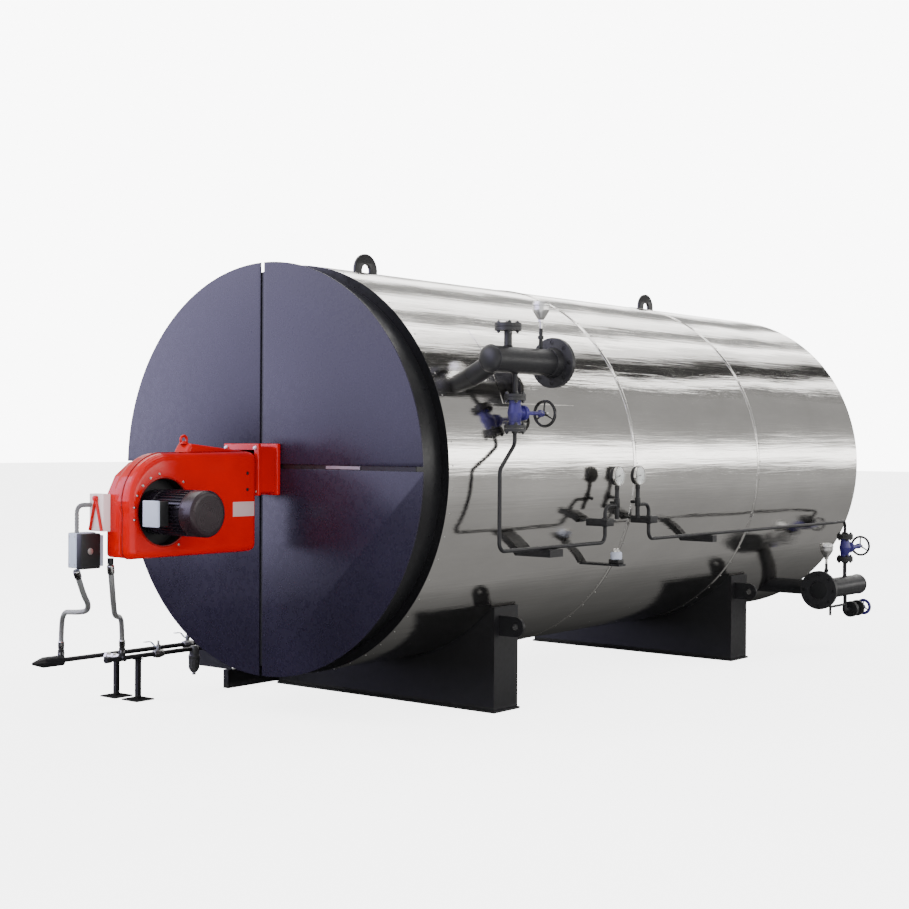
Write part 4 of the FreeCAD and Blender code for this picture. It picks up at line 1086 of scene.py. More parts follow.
class BOILER_OT_ends(bpy.types.Operator):
    """Drum body, front panels, rear cover and flue collar"""
    bl_idname = "boiler.ends"
    bl_label = "Drum Ends"

    def execute(self, context):
        low, high = span("drum_casing")
        clad, _ = span("cladding_courses")
        panel_low, panel_high = span("front_panels")
        mid = (low.z + high.z) / 2
        r, neck, outer = high.x, 1.05, panel_high.x
        drum = Piece("drum_body")
        drum.lathe([(0, low.y), (neck - 0.004, low.y), (neck, low.y + 0.004),
                    (neck, clad.y + 0.0005), (r, clad.y + 0.0006), (r, high.y), (0, high.y)],
                   (0, 0, mid), "Y", "satin_black", 256)
        drum.done("drum_casing")

        strip = centre("panel_strip")
        gap, left = 0.012, -0.015
        across = strip.z
        panels = Piece("front_cover", slot="cover_paint")
        for sx in (-1, 1):
            for sz in (-1, 1):
                x, z = left + sx * gap, across - mid + sz * gap
                a0 = math.atan2(sz * math.sqrt(outer ** 2 - x ** 2), x)
                a1 = math.atan2(z, sx * math.sqrt(outer ** 2 - z ** 2))
                if sx < 0 < sz * a0 and abs(a1 - a0) > math.pi:
                    a1 += math.copysign(2 * math.pi, a0)
                arc = [(outer * math.cos(a0 + (a1 - a0) * k / 72),
                        mid + outer * math.sin(a0 + (a1 - a0) * k / 72)) for k in range(73)]
                panels.plate([[(x, mid + z)] + arc], panel_low.y, panel_high.y, "Y",
                             "cover", 0.0025, 3)
        panels.done("front_panels", crease=40)
        coat_node("panel_strip", "strip_steel")
        coat_node("rear_cover", "satin_black")
        coat_node("flue_collar", "satin_black")

        _, cover_high = span("rear_cover")
        collar_low, collar_high = span("flue_collar")
        flue = centre("flue_collar")
        spots = round_spots((0, cover_high.y, mid), "Y", cover_high.x - 0.035, 32, 0.05)
        spots += round_spots((flue.x, collar_high.y - 0.010, flue.z), "-Y",
                             (collar_high.x - collar_low.x) / 2 - 0.022, 12)
        scatter(bolt_tree(), "rear_cover_bolts", "boiler", "bare_steel", "dull_steel", spots,
                corner_radius=0.011, head_height=0.008, stud_height=0.004)
        return {"FINISHED"}


class BOILER_OT_supports(bpy.types.Operator):
    """Saddles, tie lugs, lifting eyes and their welds"""
    bl_idname = "boiler.supports"
    bl_label = "Supports"

    def execute(self, context):
        for node in ("front_saddle", "rear_saddle", "tie_lugs"):
            coat_node(node, "girder_black")
        low, high = span("lifting_eyes")
        eyes = Piece("lifting_eye_plates")
        half, flat = 0.095, 0.025
        foot = high.z - half - flat
        for y in (low.y + half, high.y - half):
            top = [(y + half * math.cos(math.pi * k / 36),
                    foot + flat + half * math.sin(math.pi * k / 36)) for k in range(37)]
            hole = [(y + u, foot + flat + v) for u, v in ring_path(0.035, 40)]
            eyes.plate([[(y + half, foot)] + top + [(y - half, foot)], hole],
                       low.x, high.x, "X", "satin_black", 0.004)
            for x in (low.x, high.x):
                eyes.rod([(x, y - half, foot + 0.003), (x, y + half, foot + 0.003)], 0.005,
                         "satin_black", 8)
        eyes.done("lifting_eyes")
        return {"FINISHED"}


# ---------------------------------------------------------------- headers and pipes

SMALL_BOLT_CIRCLE = 0.0425    # radius through the bolts of the instrument flanges


class BOILER_OT_pipework(bpy.types.Operator):
    """Headers, flanges, small lines, brackets, their bolts and welds"""
    bl_idname = "boiler.pipework"
    bl_label = "Pipework"

    def execute(self, context):
        for node in ("flow_header", "return_header", "flow_nozzle", "return_nozzle",
                     "valve_stubs", "drain_line", "flow_gauge_line", "return_gauge_line"):
            coat_node(node, "pipe_black")
        for node in ("flow_flange", "return_flange", "vent_stub", "vent_blind",
                     "flow_valve_flanges", "return_valve_flanges"):
            coat_node(node, "flange_black")
        coat_node("line_brackets", "girder_black")

        spots = []
        vent_low, vent_high = span("vent_blind")
        vent = centre("vent_blind")
        for z, way in ((vent_high.z, "Z"), (vent_low.z - 0.0203, "-Z")):
            spots += round_spots((vent.x, vent.y, z), way, 0.050, 4, math.pi / 4)
        for node in ("flow_valve_flanges", "return_valve_flanges"):
            low, high = span(node)
            mid = (low + high) / 2
            pair = 0.034
            for z, way in ((high.z, "Z"), (high.z - pair, "-Z"), (low.z + pair, "Z"),
                           (low.z, "-Z")):
                spots += round_spots((mid.x, mid.y, z), way, SMALL_BOLT_CIRCLE, 4,
                                     math.pi / 4)
        valve_low, _ = span("drain_valve")
        drain = Vector((vent.x, valve_low.y, joint_point("drain_wheel_turn").z))
        for y, way in ((drain.y + 0.0163, "Y"), (drain.y - 0.0163, "-Y")):
            spots += round_spots((drain.x, y, drain.z), way, SMALL_BOLT_CIRCLE, 4,
                                 math.pi / 4)
        scatter(bolt_tree(), "flange_bolts", "boiler", "black_paint", "wheel_black", spots,
                corner_radius=0.0098, head_height=0.0085, stud_height=0.006)

        plugs = Piece("flange_protectors", slot="black_plastic")
        for node in ("flow_flange", "return_flange"):
            low, high = span(node)
            mid = (low + high) / 2
            plugs.drum(0.0635, low.y + 0.004, low.y + 0.009, (mid.x, 0, mid.z), "Y",
                       "black_plastic", 64)
            for x, z in ring_path(0.110, 8):
                plugs.drum(0.0127, low.y + 0.002, high.y - 0.002, (mid.x + x, 0, mid.z + z),
                           "Y", "black_plastic", 24)
        plugs.done()
        clamps = Piece("shelf_clamps")
        for y in (centre("flow_gauge").y - 0.124, centre("return_gauge").y + 0.124):
            clamps.block((1.088, y - 0.040, 1.020), (1.226, y + 0.040, 1.062),
                         "girder_black", 0.004)
            for z in (1.020, 1.062):
                clamps.hoop(0.014, 0.004, (1.190, y, z), "Z", "satin_black", 32, 10)
        clamps.done()

        welds = Piece("weld_beads")
        for node, face in (("flow_header", 1), ("return_header", -1)):
            low, high = span(node)
            mid = (low + high) / 2
            y = high.y - 0.04 if face > 0 else low.y + 0.04
            welds.hoop(0.0705, 0.0035, (mid.x, y, mid.z), "Y", "pipe_black", 64, 8)
            y = low.y + 0.036 if face > 0 else high.y - 0.036
            welds.hoop(0.0702, 0.0028, (mid.x, y, mid.z), "Y", "pipe_black", 64, 8)
        low, high = span("return_nozzle")
        welds.hoop(0.0545, 0.004, (high.x - 0.016, (low.y + high.y) / 2,
                                   (low.z + high.z) / 2), "X", "pipe_black", 48, 8)
        header = centre("flow_header")
        welds.hoop(0.0225, 0.003, (vent.x, vent.y, header.z + 0.0715), "Z", "pipe_black",
                   40, 8)
        for node in ("flow_valve", "return_valve"):
            at = centre(node)
            low, _ = span(node)
            near = header if node == "flow_valve" else centre("return_header")
            sign = -1 if node == "flow_valve" else 1
            welds.hoop(0.0145, 0.0025, (at.x, low.y + 0.038, near.z + sign * 0.0705), "Z",
                       "pipe_black", 32, 8)
        welds.done()
        return {"FINISHED"}


# ---------------------------------------------------------------- valves and wheels

def handwheel(piece, at, way, rim, thick, key, hub=0.013, spokes=3, dish=0.012):
    """Round rim, dished spokes and a hub with its nut."""
    turn = facing(way).to_3x3()
    at = Vector(at)
    out = turn @ Z
    piece.hoop(rim - thick, thick, at, way, key, 64, 14)
    piece.lathe([(0, -0.016), (hub, -0.016), (hub + 0.001, 0.004), (hub - 0.002, 0.008),
                 (0, 0.008)], at - out * dish * 0.4, way, key, 28, 0.0012)
    for x, y in ring_path(1.0, spokes, math.pi / 2):
        arm = turn @ Vector((x, y, 0))
        piece.rod([at - out * dish * 0.5 + arm * (hub * 0.7),
                   at - out * dish * 0.35 + arm * (rim * 0.45),
                   at + arm * (rim - thick)],
                  [0.0062, 0.0052, 0.0048], key, 12)


class BOILER_OT_valves(bpy.types.Operator):
    """Globe valves on the headers and the drain valve, with their handwheels"""
    bl_idname = "boiler.valves"
    bl_label = "Valves"

    def execute(self, context):
        for side in ("flow", "return"):
            self.globe(side)
        self.drain()
        return {"FINISHED"}

    def globe(self, side):
        low, high = span(f"{side}_valve_flanges")
        wheel_low, wheel_high = span(f"{side}_handwheel")
        at = (low + high) / 2
        way = Y
        valve = Piece(f"{side}_valve_body", slot="blue_paint")
        valve.lathe([(0, -0.066), (0.034, -0.066), (0.030, -0.050), (0.034, -0.030),
                     (0.0395, 0.0), (0.034, 0.030), (0.030, 0.050), (0.034, 0.066),
                     (0, 0.066)], at, "Z", "valve_blue", 48, 0.006, 3)
        valve.lathe([(0, 0), (0.030, 0), (0.027, 0.030), (0.029, 0.052), (0.041, 0.054),
                     (0.041, 0.064), (0.038, 0.066), (0.041, 0.068), (0.041, 0.078),
                     (0.026, 0.081), (0.0215, 0.100), (0.0165, 0.112), (0, 0.112)],
                    at, way, "valve_blue", 48, 0.003, 3)
        for x in (-0.024, 0.024):
            foot = at + X * x
            valve.rod([foot + way * 0.080, foot + way * 0.110,
                       foot + way * 0.190, foot + way * 0.222 - X * x * 0.4,
                       foot + way * 0.236 - X * x * 0.8],
                      [0.0125, 0.0105, 0.0100, 0.0105, 0.0110], "valve_blue", 14)
        valve.lathe([(0, 0.214), (0.014, 0.214), (0.019, 0.220), (0.019, 0.242),
                     (0.014, 0.250), (0, 0.250)], at, way, "valve_blue", 32, 0.002)
        valve.nut(at, way, 0.022, 0.010, "dull_steel", 0.112)
        valve.drum(0.0065, 0.118, 0.298, at, way, "bright_steel", 24)
        valve.done(f"{side}_valve")
        scatter(bolt_tree(), f"{side}_bonnet_bolts", "boiler", "bare_steel", "wheel_black",
                round_spots(at + way * 0.078, way, 0.0335, 4, math.pi / 4),
                corner_radius=0.0055, head_height=0.006, stud_height=0.003)
        wheel = Piece(f"{side}_wheel", f"{side}_wheel", "black_plastic")
        hub = (wheel_low + wheel_high) / 2
        handwheel(wheel, hub, way, (wheel_high.x - wheel_low.x) / 2, 0.0085, "wheel_black")
        wheel.done(f"{side}_handwheel")

    def drain(self):
        low, _ = span("drain_valve")
        wheel_low, wheel_high = span("drain_handwheel")
        turn = joint_point("drain_wheel_turn")
        at = Vector((turn.x, low.y + 0.058, turn.z))
        middle = (wheel_low + wheel_high) / 2
        way = Y
        valve = Piece("drain_valve_body", slot="black_paint")
        valve.drum(0.058, -0.058, -0.042, at, "Y", "flange_black", 48)
        valve.drum(0.058, 0.042, 0.058, at, "Y", "flange_black", 48)
        valve.lathe([(0, -0.05), (0.030, -0.05), (0.028, -0.03), (0.036, 0.0),
                     (0.028, 0.03), (0.030, 0.05), (0, 0.05)], at, "Y", "satin_black", 48,
                    0.005)
        valve.lathe([(0, 0.050), (0.034, 0.050), (0.036, 0.070), (0.024, 0.085),
                     (0.018, 0.110), (0.016, 0.128), (0, 0.128)], at, way, "satin_black",
                    40, 0.003)
        valve.drum(0.0065, 0.120, (middle - at).dot(way) + 0.012, at, way, "bright_steel",
                   24)
        valve.done("drain_valve")
        wheel = Piece("drain_wheel", "drain_wheel", "blue_paint")
        handwheel(wheel, middle, way, (wheel_high.x - wheel_low.x) / 2, 0.0115,
                  "wheel_blue", hub=0.016, dish=0.008)
        wheel.done("drain_handwheel")


# ---------------------------------------------------------------- gauges and thermometers

class BOILER_OT_instruments(bpy.types.Operator):
    """Pressure gauges, thermometer heads and the sensor head"""
    bl_idname = "boiler.instruments"
    bl_label = "Instruments"

    def execute(self, context):
        for side in ("flow", "return"):
            self.gauge(side, context.scene.boiler_sizes.dial_divisions)
            self.thermometer(side)
        self.sensor()
        return {"FINISHED"}

    def gauge(self, side, divisions):
        low, high = span(f"{side}_gauge")
        r = (high.y - low.y) / 2
        at = Vector((low.x, (low.y + high.y) / 2, high.z - r))
        deep = high.x - low.x
        gauge = Piece(f"{side}_gauge_case", slot="bare_steel")
        gauge.lathe([(0, 0), (r - 0.006, 0), (r - 0.003, 0.004), (r - 0.003, deep - 0.010),
                     (0, deep - 0.010)], at, "X", "black_plastic", 96, 0.0008)
        gauge.lathe([(r - 0.010, deep - 0.012), (r, deep - 0.012), (r, deep - 0.002),
                     (r - 0.002, deep), (r - 0.0045, deep), (r - 0.0065, deep - 0.004),
                     (r - 0.0065, deep - 0.0065), (0, deep - 0.0065),
                     (0, deep - 0.012), (r - 0.010, deep - 0.012)], at, "X",
                    "bright_steel", 96)
        gauge.drum(r - 0.0066, deep - 0.0065, deep - 0.0058, at, "X", "dial_white", 96,
                   0.0002)
        stem = Vector((at.x + deep * 0.5, at.y, at.z))
        foot = low.z
        fall = stem.z - r - foot
        gauge.nut(stem - Z * (r + 0.022), "Z", 0.026, 0.024, "satin_black")
        gauge.drum(0.012, 0.0, 0.030, stem - Z * (r + 0.044), "Z", "satin_black", 28)
        gauge.drum(0.0125, 0.0, fall - 0.036, Vector((stem.x, stem.y, foot)), "Z",
                   "pipe_black", 28, 0.001)
        cock = foot + (fall - 0.036) * 0.60
        gauge.drum(0.017, -0.026, 0.026, Vector((stem.x, stem.y, cock)), "Z",
                   "satin_black", 32, 0.004)
        gauge.drum(0.0095, 0.0, 0.030, Vector((stem.x - 0.014, stem.y, cock)), "-X",
                   "satin_black", 24, 0.002)
        gauge.drum(0.0135, -0.012, 0.0, Vector((stem.x, stem.y, foot + 0.02)), "Z",
                   "satin_black", 6, 0.0008)
        gauge.done(f"{side}_gauge")

        face = Vector((at.x + deep - 0.0056, at.y, at.z))
        spots = []
        for k in range(divisions + 1):
            a = math.radians(225 - 270 * k / divisions)
            arm = Vector((0, math.cos(a), math.sin(a)))
            long = k % 5 == 0
            spots.append((face + arm * (r - (0.0135 if long else 0.0115)), X, arm,
                          1.0 if long else 0.6))
        scatter(fin_tree(), f"{side}_dial_marks", "boiler", "white_dial", "dial_ink", spots,
                thickness=0.0010, length=0.0066, height=0.0003)
        ink = Piece(f"{side}_dial_hand", slot="black_plastic")
        for k in range(5):
            a = math.radians(225 - 270 * k / 4)
            self.number(ink, str(4 * k), face + Vector((0, math.cos(a), math.sin(a)))
                        * (r - 0.0215), 0.0085)
        hand = math.radians(196 if side == "flow" else 188)
        tip = Vector((0, math.cos(hand), math.sin(hand)))
        wide = Vector((0, -tip.z, tip.y))
        loop = [tip * (r - 0.016), tip * 0.004 + wide * 0.0016, -tip * 0.012 + wide * 0.0022,
                -tip * 0.012 - wide * 0.0022, tip * 0.004 - wide * 0.0016]
        ink.plate([[(at.y + p.y, at.z + p.z) for p in loop]], face.x + 0.001,
                  face.x + 0.0018, "X", "dial_ink", 0.0001, 1)
        ink.drum(0.004, 0.0, 0.0028, face, "X", "dial_ink", 24, 0.0006)
        red = math.radians(60)
        mark = Vector((0, math.cos(red), math.sin(red)))
        side_way = Vector((0, -mark.z, mark.y))
        ink.plate([[(at.y + p.y, at.z + p.z) for p in
                    (mark * (r - 0.011), mark * (r - 0.018) + side_way * 0.0022,
                     mark * (r - 0.018) - side_way * 0.0022)]], face.x + 0.0002,
                  face.x + 0.0008, "X", "needle_red", 0.0001, 1)
        ink.done()
        glass = Piece(f"{side}_gauge_glass", slot="bare_steel")
        glass.drum(r - 0.0064, 0.0, 0.0012, Vector((at.x + deep - 0.0022, at.y, at.z)), "X",
                   "glass", 64, 0.0003)
        glass.done()

    def number(self, piece, text, place, size):
        """Upright figure lying on the dial, facing along X."""
        letters = bpy.data.curves.new("figure", "FONT")
        letters.body, letters.size, letters.extrude = text, size, 0.0002
        letters.align_x, letters.align_y = "CENTER", "CENTER"
        holder = bpy.data.objects.new("figure", letters)
        bpy.context.scene.collection.objects.link(holder)
        graph = bpy.context.evaluated_depsgraph_get()
        mesh = bpy.data.meshes.new_from_object(holder.evaluated_get(graph))
        bpy.data.objects.remove(holder)
        bpy.data.curves.remove(letters)
        mesh.transform(Matrix((Y, Z, X)).transposed().to_4x4())
        piece.take(mesh, Matrix.Translation(place), "dial_ink")

    def thermometer(self, side):
        node = f"{side}_thermometer"
        low, high = span(node)
        x = (low.x + high.x) / 2
        y = (low.y + high.y) / 2
        r = min((high.x - low.x) / 2, 0.048)
        foot = Vector((x, y, low.z))
        tall = high.z - low.z
        head = Piece(f"{side}_thermometer_head", slot="bare_steel")
        head.drum(0.0105, 0.0, tall * 0.42, foot, "Z", "pipe_black", 28, 0.001)
        head.nut(foot, "Z", 0.030, 0.018, "satin_black", tall * 0.20)
        head.drum(0.0085, tall * 0.30, tall * 0.66, foot, "Z", "bright_steel", 28)
        head.nut(foot, "Z", 0.028, 0.014, "bright_steel", tall * 0.55)
        head.lathe([(0, tall * 0.60), (0.014, tall * 0.60), (0.022, tall * 0.64),
                    (r * 0.86, tall * 0.76), (r * 0.95, tall * 0.80), (r * 0.95,
                    tall * 0.885), (r, tall * 0.89), (r, tall * 0.925), (r * 0.96,
                    tall * 0.935), (r * 0.90, tall * 0.975), (r * 0.60, tall), (0, tall)],
                   foot, "Z", "aluminium", 56, 0.004)
        for k in range(2):
            a = math.pi * k + 0.6
            head.drum(0.0045, 0.0, 0.006, foot + Vector((r * 0.99 * math.cos(a),
                      r * 0.99 * math.sin(a), tall * 0.908)) - Vector((0.008 * math.cos(a),
                      0.008 * math.sin(a), 0)), Vector((math.cos(a), math.sin(a), 0)),
                      "dull_steel", 16)
        head.done(node)

    def sensor(self):
        low, high = span("sensor_head")
        mid = (low + high) / 2
        body = Piece("sensor_body", slot="grey_plastic")
        body.block((low.x + 0.006, low.y + 0.004, low.z), (high.x - 0.006, high.y - 0.004,
                   low.z + 0.026), "black_plastic", 0.004)
        body.lathe([(0, 0.024), (0.031, 0.024), (0.033, 0.030), (0.033, 0.060),
                    (0.028, 0.068), (0, 0.068)], (mid.x, mid.y, low.z), "Z", "box_grey",
                   48, 0.003)
        for y in (low.y + 0.020, high.y - 0.020):
            body.lathe([(0, 0.060), (0.014, 0.060), (0.0135, 0.072), (0.010, 0.082),
                        (0.004, high.z - low.z), (0, high.z - low.z)], (mid.x, y, low.z),
                       "Z", "bright_steel", 36, 0.002)
        body.done("sensor_head")


# ---------------------------------------------------------------- oil train

class BOILER_OT_oil_train(bpy.types.Operator):
    """Oil pipes, ball valves with levers, filter, stands and floor beam"""
    bl_idname = "boiler.oil_train"
    bl_label = "Oil Train"

    def execute(self, context):
        for node in ("oil_line_left", "oil_line_right"):
            coat_node(node, "pipe_black")
        for node in ("oil_stands", "oil_rack", "floor_beam"):
            coat_node(node, "girder_black")
        for side in ("left", "right"):
            self.ball_valve(side)
        self.filter()
        self.fittings()
        return {"FINISHED"}

    def ball_valve(self, side):
        low, high = span(f"{side}_ball_valve")
        mid = (low + high) / 2
        axis_z = low.z + 0.026
        valve = Piece(f"{side}_ball_valve_body", slot="bare_steel")
        half = (high.y - low.y) / 2
        at = Vector((mid.x, mid.y, axis_z))
        valve.lathe([(0, -half), (0.021, -half), (0.022, -half * 0.55), (0.0255, -half * 0.4),
                     (0.0255, half * 0.4), (0.022, half * 0.55), (0.021, half), (0, half)],
                    at, "Y", "dull_steel", 8, 0.0015)
        valve.lathe([(0, -half * 0.9), (0.0185, -half * 0.9), (0.0245, -half * 0.3),
                     (0.0245, half * 0.3), (0.0185, half * 0.9), (0, half * 0.9)], at, "Y",
                    "dull_steel", 40, 0.002)
        valve.drum(0.0125, 0.018, 0.052, at, "Z", "dull_steel", 28)
        valve.drum(0.007, 0.050, high.z - axis_z - 0.010, at, "Z", "bright_steel", 24)
        valve.done(f"{side}_ball_valve")
        lever_low, lever_high = span(f"{side}_valve_lever")
        lever = Piece(f"{side}_lever_handle", f"{side}_lever", "grey_plastic")
        pivot = joint_point(f"{side}_lever_turn")
        ahead = -1 if abs(lever_low.y - pivot.y) > abs(lever_high.y - pivot.y) else 1
        reach = max(abs(lever_low.y - pivot.y), abs(lever_high.y - pivot.y))
        top, bottom = lever_high.z - 0.002, lever_low.z + 0.002
        x = pivot.x
        flat = [(-0.012, bottom), (0.012, bottom), (0.030, bottom + 0.010),
                (0.050, top - 0.010), (0.064, top - 0.003), (reach, top - 0.003)]
        width = [0.011, 0.011, 0.0095, 0.009, 0.0105, 0.0115]
        self.strap(lever, Vector((x, pivot.y, 0)), ahead, flat, width, 0.0042,
                   "light_grey")
        lever.nut((x, pivot.y, bottom + 0.002), "Z", 0.015,
                  min(0.009, lever_high.z - bottom - 0.004), "bright_steel")
        lever.done(f"{side}_valve_lever")

    def strap(self, piece, at, ahead, line, widths, thick, key):
        """Flat bar bent along a line of (distance, height) points."""
        work = bmesh.new()
        rows = []
        smooth = eased([(d, h, 0) for d, h in line], 0.012, steps=5)
        reach = [p[0] for p in smooth]
        for p in smooth:
            share = (p[0] - reach[0]) / (reach[-1] - reach[0])
            w = self.width_at(line, widths, p[0]) if share else widths[0]
            y = at.y + ahead * p[0]
            rows.append([work.verts.new((at.x + sx * w, y, p[1] + sz * thick / 2))
                         for sx, sz in ((-1, -1), (1, -1), (1, 1), (-1, 1))])
        for a, b in zip(rows, rows[1:]):
            for k in range(4):
                m = (k + 1) % 4
                work.faces.new((a[k], a[m], b[m], b[k]))
        work.faces.new(rows[0][::-1])
        work.faces.new(rows[-1])
        bmesh.ops.recalc_face_normals(work, faces=work.faces)
        sharp = [e for e in work.edges if e.calc_face_angle(0) > 1.0]
        bmesh.ops.bevel(work, geom=sharp, offset=0.0012, segments=2, profile=0.5,
                        affect="EDGES")
        piece.faces_in(work, Matrix.Identity(4), key)

    def width_at(self, line, widths, at):
        for (a, _), (b, _), wa, wb in zip(line, line[1:], widths, widths[1:]):
            if a <= at <= b:
                return wa + (wb - wa) * (at - a) / max(b - a, 1e-6)
        return widths[-1]

    def filter(self):
        low, high = span("oil_filter")
        mid = (low + high) / 2
        tall = high.z - low.z
        bowl = Piece("oil_filter_bowl", slot="cast_iron")
        at = Vector((mid.x, mid.y, low.z))
        bowl.lathe([(0, 0.012), (0.010, 0.012), (0.020, 0.020), (0.029, 0.034),
                    (0.031, 0.046), (0.031, tall * 0.56), (0, tall * 0.56)], at, "Z",
                   "iron_grey", 48, 0.004)
        bowl.nut(at, "Z", 0.019, 0.016, "dull_steel")
        bowl.lathe([(0, tall * 0.54), (0.034, tall * 0.54), (0.034, tall * 0.66),
                    (0.030, tall * 0.70), (0.028, tall * 0.90), (0.020, tall),
                    (0, tall)], at, "Z", "iron_grey", 48, 0.003)
        for k in range(12):
            a = 2 * math.pi * k / 12
            arm = Vector((math.cos(a), math.sin(a), 0))
            bowl.rod([at + arm * 0.0305 + Z * 0.040, at + arm * 0.0305 + Z * tall * 0.53],
                     0.0026, "iron_grey", 8)
        bowl.done("oil_filter")

    def fittings(self):
        """Bright union across the right line and the nuts under the hoses."""
        low, _ = span("oil_line_right")
        lines = Piece("oil_unions", slot="bare_steel")
        x, y = HOSE_ROUTES["right_hose"][1][-1][:2]
        axis = span("right_ball_valve")[0].z + 0.026
        at = Vector((low.x, y, axis))
        lines.drum(0.0182, 0.010, 0.125, at, "X", "bright_steel", 40, 0.002)
        for start in (0.004, 0.060, 0.104):
            lines.nut(at, "X", 0.043, 0.022, "bright_steel", start)
        for place in ((x, y), HOSE_ROUTES["left_hose"][1][-1][:2]):
            lines.nut((*place, axis + 0.030), "Z", 0.034, 0.018, "dull_steel")
        lines.done()


# ---------------------------------------------------------------- burner

class BOILER_OT_burner(bpy.types.Operator):
    """Red burner housing with its inlet, mounting block and plates"""
    bl_idname = "boiler.burner"
    bl_label = "Burner"

    inlet = (-1.870, 1.137)
    inlet_radius = 0.165

    def slab(self, low, high):
        """Side view of the back half: low peak on top and a stepped, sloping front."""
        bottom = low.z + 0.004
        corners = [(high.y - 0.004, bottom), (high.y - 0.004, high.z - 0.041),
                   (high.y - 0.395, high.z),
                   (high.y - 0.425, high.z - 0.049), (high.y - 0.525, high.z - 0.049),
                   (high.y - 0.715, high.z - 0.093), (high.y - 0.800, high.z - 0.156),
                   (low.y, high.z - 0.246), (low.y, bottom)]
        return [(p[0], p[1]) for p in eased([(u, v, 0) for u, v in corners], 0.022, True, 5)]

    def scroll(self, low, high):
        """Side view of the near half: a scroll round the inlet and a square throat."""
        y, z = self.inlet
        top, front = high.z - 0.049 - z, y - low.y - 0.005
        arc = []
        for k in range(13):
            a = math.radians(90 + 7.5 * k)
            r = top + (front - top) * k / 12
            arc.append((y + r * math.cos(a), z + r * math.sin(a)))
        corners = [(high.y, low.z), (high.y, high.z - 0.043)] + arc + [(low.y + 0.005, low.z)]
        return [(p[0], p[1]) for p in eased([(u, v, 0) for u, v in corners], 0.044, True, 5)]

    def execute(self, context):
        sizes = context.scene.boiler_sizes
        low, high = span("burner_housing")
        flange_low, flange_high = span("burner_flange")
        near = self.scroll(low, high)
        hub = Vector((0, *self.inlet))
        house = Piece("burner_casing", slot="red_paint")
        house.plate([near], low.x + 0.03, high.x, "X", "burner_red", sizes.casting_round, 6)
        # The pocket's walls and floor take the black finish as painted shade inside the air inlet.
        house.carve(self.inlet_radius, high.x - 0.070, high.x + 0.05, hub, "X",
                    "black_plastic")
        house.tube(self.inlet_radius + 0.007, self.inlet_radius - 0.002, high.x - 0.008,
                   high.x + 0.003, hub, "X", "burner_dark_red", 96, 0.003)
        house.drum(0.190, low.x - 0.008, low.x + 0.004, hub, "X", "burner_red", 72, 0.005)
        house.plate([self.slab(low, high)], low.x, high.x - 0.075, "X", "burner_red", 0.018,
                    5)
        seam = [Vector((high.x - 0.062, u, v)) for u, v in near]
        house.rod(seam + seam[:2], 0.0045, "burner_dark_red", 8)
        for v in (1.234, 1.318):
            house.drum(0.009, high.x - 0.002, high.x + 0.002, (0, -1.312, v), "X",
                       "black_plastic", 28, 0.001)
        house.done("burner_housing")
        spots = []
        for degrees in (100, 118, 136, 154, 172, 190, 300, 330, 50):
            a = math.radians(degrees)
            y, z = hub.y + 0.188 * math.cos(a), hub.z + 0.188 * math.sin(a)
            spots.append((Vector((high.x, y, z)), X, Y, 1.0))
        scatter(bolt_tree(), "inlet_ring_bolts", "boiler", "bare_steel", "bright_steel",
                spots, corner_radius=0.006, head_height=0.005, stud_height=0.002)
        self.mounting(flange_low, flange_high)

        extra = Piece("burner_plate", slot="grey_plastic")
        extra.block((high.x - 0.004, -1.413, 1.0975), (high.x + 0.0015, -1.263, 1.1725),
                    "plate_grey", 0.001)
        extra.done()
        self.bracket()
        self.conduit()
        coat_node("oil_port", "satin_black")
        self.eye()
        self.unit()
        return {"FINISHED"}

    def mounting(self, low, high):
        mount = Piece("burner_mounting", slot="red_paint")
        mount.block((low.x + 0.012, low.y, low.z + 0.010),
                    (high.x - 0.012, high.y - 0.020, high.z - 0.014), "burner_red", 0.018, 5)
        mount.block((low.x, high.y - 0.026, low.z), high, "burner_red", 0.006)
        mount.block((low.x, low.y, low.z), (high.x, low.y + 0.022, high.z), "burner_red",
                    0.006)
        mount.done("burner_flange")
        spots = [(Vector((x, low.y, z)), -Y, X, 1.0)
                 for x in (low.x + 0.022, high.x - 0.022)
                 for z in (low.z + 0.022, high.z - 0.022)]
        scatter(bolt_tree(), "burner_mounting_bolts", "boiler", "bare_steel",
                "bright_steel", spots, corner_radius=0.010, head_height=0.008,
                stud_height=0.004)

    def bracket(self):
        """Pale back plate with a red frame of two legs that meet in a boss."""
        coat_node("burner_bracket", "white_paint")
        low, high = span("burner_bracket")
        y, mid = low.y - 0.005, (low.x + high.x) / 2
        legs = Piece("bracket_frame", slot="red_paint")
        for side in (low.x + 0.008, high.x - 0.008):
            legs.rod([(side, y, low.z + 0.004), (mid, y, high.z - 0.020)], 0.0075,
                       "burner_red", 12)
        legs.drum(0.014, -0.004, 0.010, (mid, y, high.z - 0.022), "-Y", "burner_red", 28)
        legs.done()

    def conduit(self):
        """Ribbed grey conduit from the oil unit to the bracket."""
        low, high = span("burner_conduit")
        x = (low.x + high.x) / 2
        route = [(x, low.y + 0.010, low.z), (x, low.y + 0.010, high.z - 0.010),
                 (x, high.y, high.z - 0.010)]
        line = [Vector(p) for p in eased(route, 0.045, steps=24)]
        fine = [a.lerp(b, k / 12) for a, b in zip(line, line[1:])
                for k in range(12 if (b - a).length > 0.02 else 1)] + [line[-1]]
        widths = [0.0115 if k % 2 else 0.0092 for k in range(len(fine))]
        ribs = Piece("ribbed_conduit", slot="grey_plastic")
        ribs.rod(fine, widths, "conduit_grey", 20)
        ribs.done("burner_conduit", crease=60)

